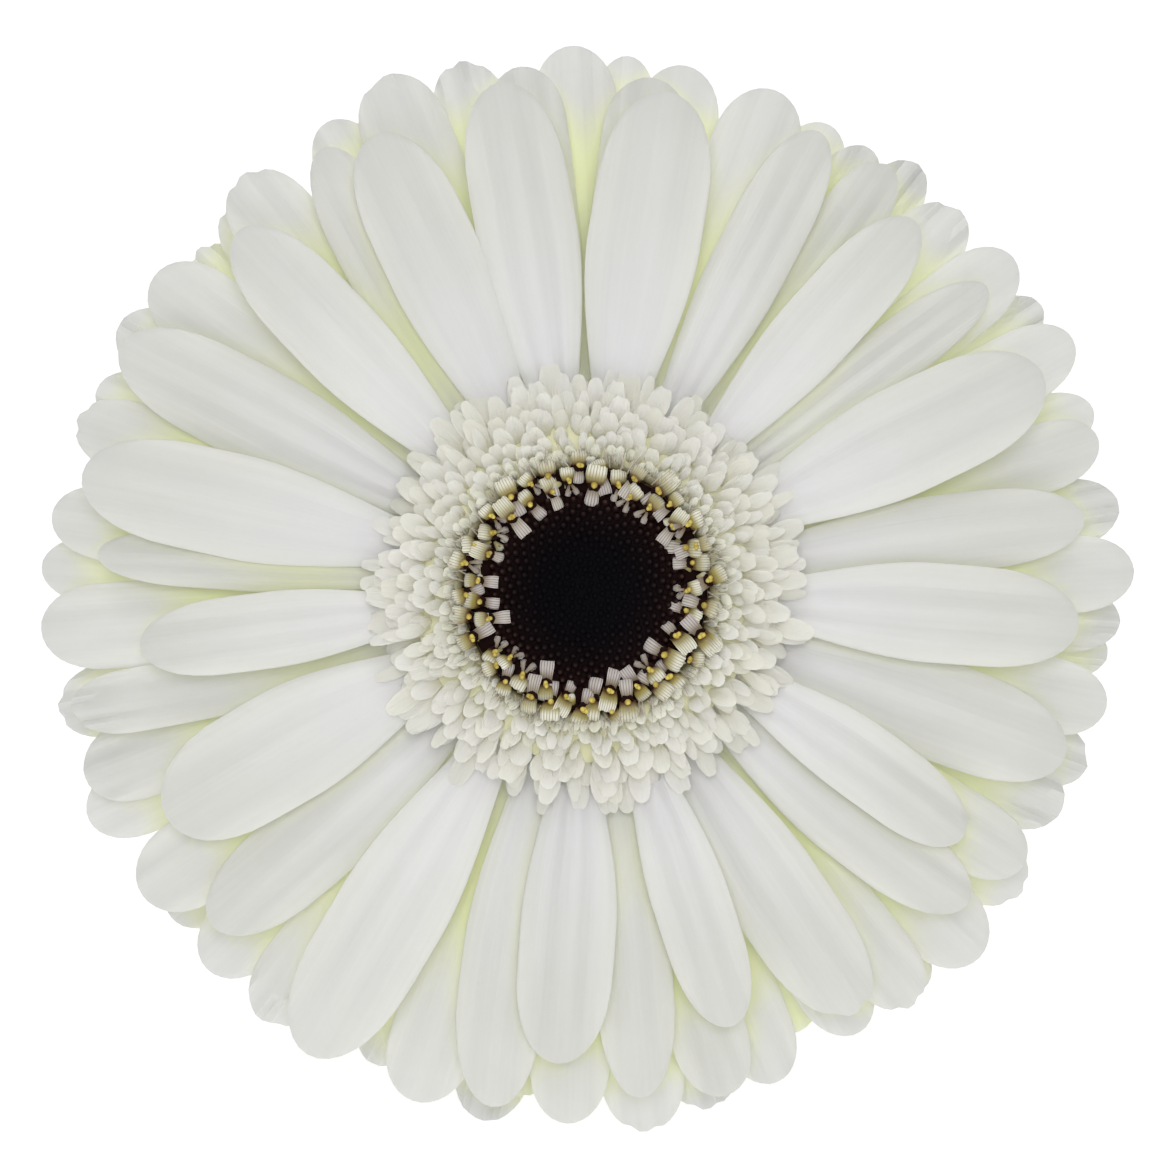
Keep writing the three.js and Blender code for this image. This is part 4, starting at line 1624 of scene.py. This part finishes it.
    def build(self, ring: Growth) -> None:
        """Builds the lips, the anthers, and the pad with its tubes.

        Args:
            ring: the growth that sets florets out.
        """
        curled = Strap(3.0, 0.6, 40, -330, end_share=0.8, late_bend=2.0, thickness=0.14, columns=5)
        curl = curled.surface()
        anthers = [
            self.anther(1.0, ((0.0, 0.05),)),
            self.anther(0.95, ((-0.2, 0.0), (0.2, 0.1))),
            self.anther(0.9, ((0.12, 0.25), (0.0, -0.15))),
        ]
        tube = turned(self.tube, 8, PLAIN)
        lips, columns, tubes = [], [], []
        for number in range(len(self.rings)):
            outer = self.placed(ring, number, self.outside(), Finish.LIP, self.lip_height)
            inner = self.placed(ring, number, self.inside(curl), Finish.INNER_LIP, self.lip_height, math.pi)
            lips += [outer, inner]
            columns.append(self.placed(ring, number, anthers, Finish.ANTHER, self.column_height))
            tubes.append(self.placed(ring, number, [tube], Finish.BUD, self.tube_height))
        lips.append(self.strays(ring, curl))
        settle("floret_lips", lips, "disc_floret", "disc_florets")
        settle("anthers", columns, "disc_floret")
        pad = turned(self.pad, ROUND_SIDES, SHADED).mesh("pad")
        pad.materials.append(Finish.BUD.material())
        settle("floret_tubes", [pad, *tubes], "disc_bud")


@dataclass
class Eye:
    """The dark eye: closed buds on a spiral over a low dome."""

    radius: float = 9.4
    bottom: float = 11.5
    edge: float = 12.0
    crown: float = 12.5
    overhang: float = 0.4
    count: int = 430
    dome_rings: int = 6
    bud: Profile = ((0.0, -0.4), (0.34, -0.35), (0.4, 0.05), (0.28, 0.34), (0.1, 0.46), (0.0, 0.42))
    bud_tip: tuple[float, float] = (0.3, 0.46)

    def build(self, spiral: Growth) -> bpy.types.Object:
        """Builds the dome and its buds as one piece.

        Args:
            spiral: the growth that sets buds out.

        Returns:
            The piece.
        """
        finish = Finish.BUD.material()
        profile = [(0.0, self.bottom), (self.radius, self.bottom)]
        for share in np.linspace(1.0, 0.0, self.dome_rings + 1):
            profile.append((self.radius * share, self.edge + (self.crown - self.edge) * (1.0 - share**2)))
        dome = turned(profile, ROUND_SIDES, SHADED)
        out = np.hypot(dome.points[:, 0], dome.points[:, 1]) / self.radius
        dome.values[SHADE] = 1.0 - out**EYE_SHADE_POWER
        base = dome.mesh("dome")
        base.materials.append(finish)
        bud = turned(self.bud, 6, PLAIN)
        bud.values[ALONG] = smoothstep(bud.points[:, 2], *self.bud_tip)
        values = {
            "Count": self.count,
            "Radius": self.radius + self.overhang,
            "Crown": self.crown,
            "Edge": self.edge,
            "Middle size": 0.8,
            "Rim size": 1.15,
            "Size spread": 0.2,
            "Splay": 0.25,
            "Stray": 0.15,
            "Seed": 71,
            "Finish": finish,
        }
        return settle("buds", [base, spiral.run(None, [bud], values)], "disc_bud", "disc_buds")


@dataclass
class Involucre:
    """The green cup behind the petals, with rows of pointed bracts up its side and the down on them.

    Each row is [how many, start and end along the cup's side as shares, width]. The outside is a profile of
    [radius, height] points, from the stalk up.
    """

    outside: Profile = (
        (3.0, -14.5), (3.5, -13.4), (5.2, -11.0), (7.6, -7.6), (9.4, -4.2), (10.4, -1.2), (10.5, 0.0),
    )
    inside_radius: float = 9.8
    floor: float = -1.6
    rows: tuple[tuple[int, float, float, float], ...] = (
        (9, 0.06, 0.44, 2.3),
        (13, 0.24, 0.64, 2.7),
        (17, 0.42, 0.82, 2.8),
        (21, 0.6, 1.0, 2.8),
    )
    steps: int = 8
    columns: int = 7
    thickness: float = 0.4
    crown: float = 0.25
    root_share: float = 0.75
    widest_at: float = 0.4
    lift: tuple[float, float] = (0.15, 0.75)
    drop: float = 0.35
    pointed: float = 0.94
    point_roundness: float = 1.6

    def bract(self, start: float, end: float, width: float) -> Surface:
        """Draws a bract that lies up the side of the cup, with its pointed tip standing off.

        Args:
            start: where along the cup's side it starts, as a share.
            end: where it ends.
            width: its full width.

        Returns:
            The bract, which carries down on its outer side only.
        """
        t = np.linspace(0.0, 1.0, self.steps)
        v = np.sin(np.linspace(-math.pi / 2, math.pi / 2, self.columns))
        places = np.linspace(0.0, 1.0, len(self.outside))
        radii, heights = np.array(self.outside).T
        reached = start + (end - start) * t
        off = self.lift[0] + self.lift[1] * t**2
        closing = np.clip((t - self.widest_at) / (1.0 - self.widest_at), 0.0, 1.0)
        opening = self.root_share + (1.0 - self.root_share) * smoothstep(t, 0.0, self.widest_at)
        half = 0.5 * width * opening * (1.0 - self.pointed * closing**self.point_roundness)
        along, across = np.meshgrid(t, v, indexing="ij")
        r = (np.interp(reached, places, radii) + off)[:, None] - self.crown * across**2
        turn = -half[:, None] * across / r
        z = np.repeat((np.interp(reached, places, heights) - self.drop * off)[:, None], len(v), 1)
        middle = np.stack([r * np.cos(turn), r * np.sin(turn), z], axis=-1)
        grids = {ALONG: along, ACROSS: across, DOWNY: np.ones(along.shape)}
        bract = blade(middle, np.full(along.shape, 0.5 * self.thickness), grids)
        bract.values[DOWNY][along.size :] = 0.0
        return bract

    def build(self, ring: Growth, down: Growth) -> None:
        """Builds the cup with its bracts, and the down on them.

        Args:
            ring: the growth that sets bracts out.
            down: the growth that scatters hairs.
        """
        finish = Finish.BRACT.material()
        rim = [(self.inside_radius, 0.0), (self.inside_radius, self.floor), (0.0, self.floor)]
        profile = [(0.0, self.outside[0][1]), *self.outside, *rim]
        cup = turned(profile, ROUND_SIDES, SHADED).mesh("cup")
        cup.materials.append(finish)
        hair = spike(length=1.2, radius=0.035, sides=3)
        scales, hairs = [], []
        for number, (count, start, end, width) in enumerate(self.rows):
            values = {
                "Count": count,
                "Start": number / 3,
                "Stray": 0.3,
                "Size": 1.0,
                "Height spread": 0.5,
                "Seed": 81 + number,
                "Finish": finish,
            }
            scales.append(ring.run(None, [self.bract(start, end, width)], values))
            values = {
                "Density": 1.3,
                "Lean spread": 1.5,
                "Size": 1.0,
                "Size spread": 0.6,
                "Seed": 85 + number,
                "Finish": Finish.DOWN.material(),
            }
            hairs.append(down.run(scales[-1].copy(), [hair], values))
        settle("bracts", [cup, *scales], "bract", "involucre")
        settle("bract_down", hairs, "bract")


@dataclass
class Stalk:
    """The leafless stalk, with its ribs, down and cut face."""

    top: float = -14.8
    end: float = -182.2
    bow: float = 5.0
    bow_turn: float = 0.75
    sag: float = 1.5
    top_radius: float = 2.8
    end_radius: float = 3.8
    sides: int = 48
    ribs: int = 8
    steps: int = 90
    bare_from: float = 0.99
    reach: tuple[float, float] = (-0.003, 0.998)
    cut_share: float = 0.93

    def middle(self, t: np.ndarray) -> np.ndarray:
        """Gives the stalk's middle at shares t from its top to its cut end."""
        bow = self.bow * np.sin(math.pi * t * self.bow_turn) ** 2
        return np.stack([bow, -self.sag * t * t, self.top + (self.end - self.top) * t], axis=-1)

    def build(self, stalk: Growth, down: Growth) -> None:
        """Builds the stalk, its down and its cut face.

        Args:
            stalk: the growth that draws a ribbed stalk.
            down: the growth that scatters hairs.
        """
        path = bpy.data.meshes.new("path")
        points = self.middle(np.linspace(*self.reach, self.steps)).tolist()
        path.from_pydata(points, [(i, i + 1) for i in range(len(points) - 1)], [])
        values = {
            "Sides": self.sides,
            "Ribs": self.ribs,
            "Top radius": self.top_radius,
            "End radius": self.end_radius,
            "Rib depth": 0.018,
            "Swelling": 0.3,
            "Finish": Finish.STALK.material(),
        }
        tube = stalk.run(path, [], values)
        downy = tube.copy()
        reached = np.zeros(len(downy.vertices), dtype=np.float32)
        downy.attributes[ALONG].data.foreach_get("value", reached)
        cover = downy.attributes.new(DOWNY, "FLOAT", "POINT")
        cover.data.foreach_set("value", (reached < self.bare_from).astype(np.float32))
        values = {
            "Density": 1.5,
            "Lean spread": 1.6,
            "Size": 1.0,
            "Size spread": 0.7,
            "Seed": 92,
            "Finish": Finish.DOWN.material(),
        }
        hairs = down.run(downy, [spike(length=1.1, radius=0.035, sides=3)], values)
        settle("stalk", [tube], "stem", "stem")
        settle("stalk_down", [hairs], "stem")
        settle("cut_face", [self.cut_face()], "stem")

    def cut_face(self) -> bpy.types.Mesh:
        """Makes the wet pale face where the stalk was cut.

        Returns:
            A thin disc that stands just proud of the stalk's end.
        """
        edge = self.end_radius * self.cut_share
        face_side = [(0.0, -0.35), (0.3 * edge, -0.35), (0.8 * edge, -0.3), (edge, -0.1)]
        profile = [*face_side, (edge, 0.6), (0.0, 0.6)]
        face = turned(profile, self.sides, SHADED)
        face.values[ALONG] = np.hypot(face.points[:, 0], face.points[:, 1]) / edge
        face.points += self.middle(np.array([self.reach[1]]))
        mesh = face.mesh("cut_face")
        mesh.materials.append(Finish.CUT.material())
        return mesh


# Studio


@dataclass
class Studio:
    """The pale floor, the soft light and the camera at the photograph's viewing angle.

    Lengths are in metres, but for the height of the bloom's face and the film's width, in millimetres.
    """

    distance: float = 0.75
    picture_width: float = 0.1168
    picture_pixels: int = 1168
    bloom_pixel: tuple[float, float] = (586.0, 590.0)
    face_height: float = 4.0
    film_width: float = 36.0
    ambient: float = 0.24
    floor_side: float = 20.0
    floor_glow: float = 0.81

    def build(self) -> None:
        """Builds the floor, the lights, the world and the camera."""
        self.floor()
        self.softbox("overhead_softbox", place=(0.0, -0.5, 1.4), size=1.2, watts=8.0)
        self.skylight("front_skylight", height=22.0, strength=1.74, spread=26.0)
        self.skylight("rear_skylight", height=160.0, strength=0.5, spread=60.0)
        self.world()
        self.camera()

    def floor(self) -> None:
        """Lays a wide pale floor."""
        side = self.floor_side
        mesh = bpy.data.meshes.new("floor")
        corners = [(-side, -side, 0), (side, -side, 0), (side, side, 0), (-side, side, 0)]
        mesh.from_pydata(corners, [], [(0, 1, 2, 3)])
        # Floor: matt pale grey with a glow of its own, so that it reads as even white
        material = bpy.data.materials.new("pale_studio_floor")
        material.use_nodes = True
        shader = material.node_tree.nodes["Principled BSDF"]
        shader.inputs["Base Color"].default_value = linear("#B4B4B4")
        shader.inputs["Roughness"].default_value = 0.9
        shader.inputs["Specular IOR Level"].default_value = 0.0
        shader.inputs["Emission Color"].default_value = linear("#FFFFFF")
        shader.inputs["Emission Strength"].default_value = self.floor_glow
        # The glow is even, so bounced light alone finds it well and no shadow rays go to it
        material.cycles.emission_sampling = "NONE"
        mesh.materials.append(material)
        floor = bpy.data.objects.new("floor", mesh)
        bpy.context.scene.collection.objects.link(floor)

    def stand(self, data: bpy.types.ID, axis: Vector, place: Vector) -> bpy.types.Object:
        """Puts up a light or a camera.

        Args:
            data: the light or the camera.
            axis: the direction from what it faces to itself.
            place: where it stands.

        Returns:
            Its object.
        """
        thing = bpy.data.objects.new(data.name, data)
        thing.location = place
        thing.rotation_euler = axis.to_track_quat("Z", "Y").to_euler()
        bpy.context.scene.collection.objects.link(thing)
        return thing

    def softbox(self, name: str, place: tuple[float, float, float], size: float, watts: float) -> None:
        """Hangs a square soft light that faces the bloom.

        Args:
            name: its name.
            place: where it hangs.
            size: its side.
            watts: its power.
        """
        data = bpy.data.lights.new(name, "AREA")
        data.size = size
        data.energy = watts
        self.stand(data, Vector(place) - Vector(BLOOM_CENTRE) * MM, Vector(place))

    def skylight(self, name: str, height: float, strength: float, spread: float) -> None:
        """Adds a wide soft light from far away.

        Args:
            name: its name.
            height: how many degrees it stands over the horizon in front, past 90 for one behind.
            strength: its strength.
            spread: how wide it looks, in degrees.
        """
        data = bpy.data.lights.new(name, "SUN")
        data.energy = strength
        data.angle = math.radians(spread)
        up = math.radians(height)
        self.stand(data, Vector((0.0, -math.cos(up), math.sin(up))), Vector())

    def world(self) -> None:
        """Makes the bright white surroundings."""
        world = bpy.data.worlds.new("white_surroundings")
        world.use_nodes = True
        sky = world.node_tree.nodes["Background"]
        sky.inputs["Color"].default_value = linear("#FFFFFF")
        seen = add_node(world.node_tree, "ShaderNodeLightPath")
        limits = {"Value": seen.outputs["Is Camera Ray"], "To Min": self.ambient, "To Max": 1.0}
        bright = add_node(world.node_tree, "ShaderNodeMapRange", limits)
        world.node_tree.links.new(bright.outputs[0], sky.inputs["Strength"])
        bpy.context.scene.world = world
        bpy.context.scene.view_settings.view_transform = "Standard"

    def camera(self) -> None:
        """Sets the camera on the bloom's axis."""
        tilt = math.radians(FACE_UP)
        axis = Vector((0.0, -math.cos(tilt), math.sin(tilt)))
        face = Vector(BLOOM_CENTRE) * MM + axis * self.face_height * MM
        data = bpy.data.cameras.new("camera")
        data.sensor_width = self.film_width
        data.lens = self.film_width * self.distance / self.picture_width
        data.clip_end = 50.0
        data.shift_x = (self.picture_pixels / 2 - self.bloom_pixel[0]) / self.picture_pixels
        data.shift_y = (self.bloom_pixel[1] - self.picture_pixels / 2) / self.picture_pixels
        bpy.context.scene.camera = self.stand(data, axis, face + axis * self.distance)


def main() -> None:
    """Builds the studio and the flower, piece by piece."""
    logging.basicConfig(level=logging.INFO, format="%(message)s")
    Studio().build()
    ring, spiral, down, stalk = ring_growth(), spiral_growth(), down_growth(), stalk_growth()
    RayFlorets().build()
    fringe = Fringe()
    fringe.build(ring)
    fringe.bristles(ring)
    DiscFlorets().build(ring)
    Eye().build(spiral)
    Involucre().build(ring, down)
    Stalk().build(stalk, down)


if __name__ == "__main__":
    main()
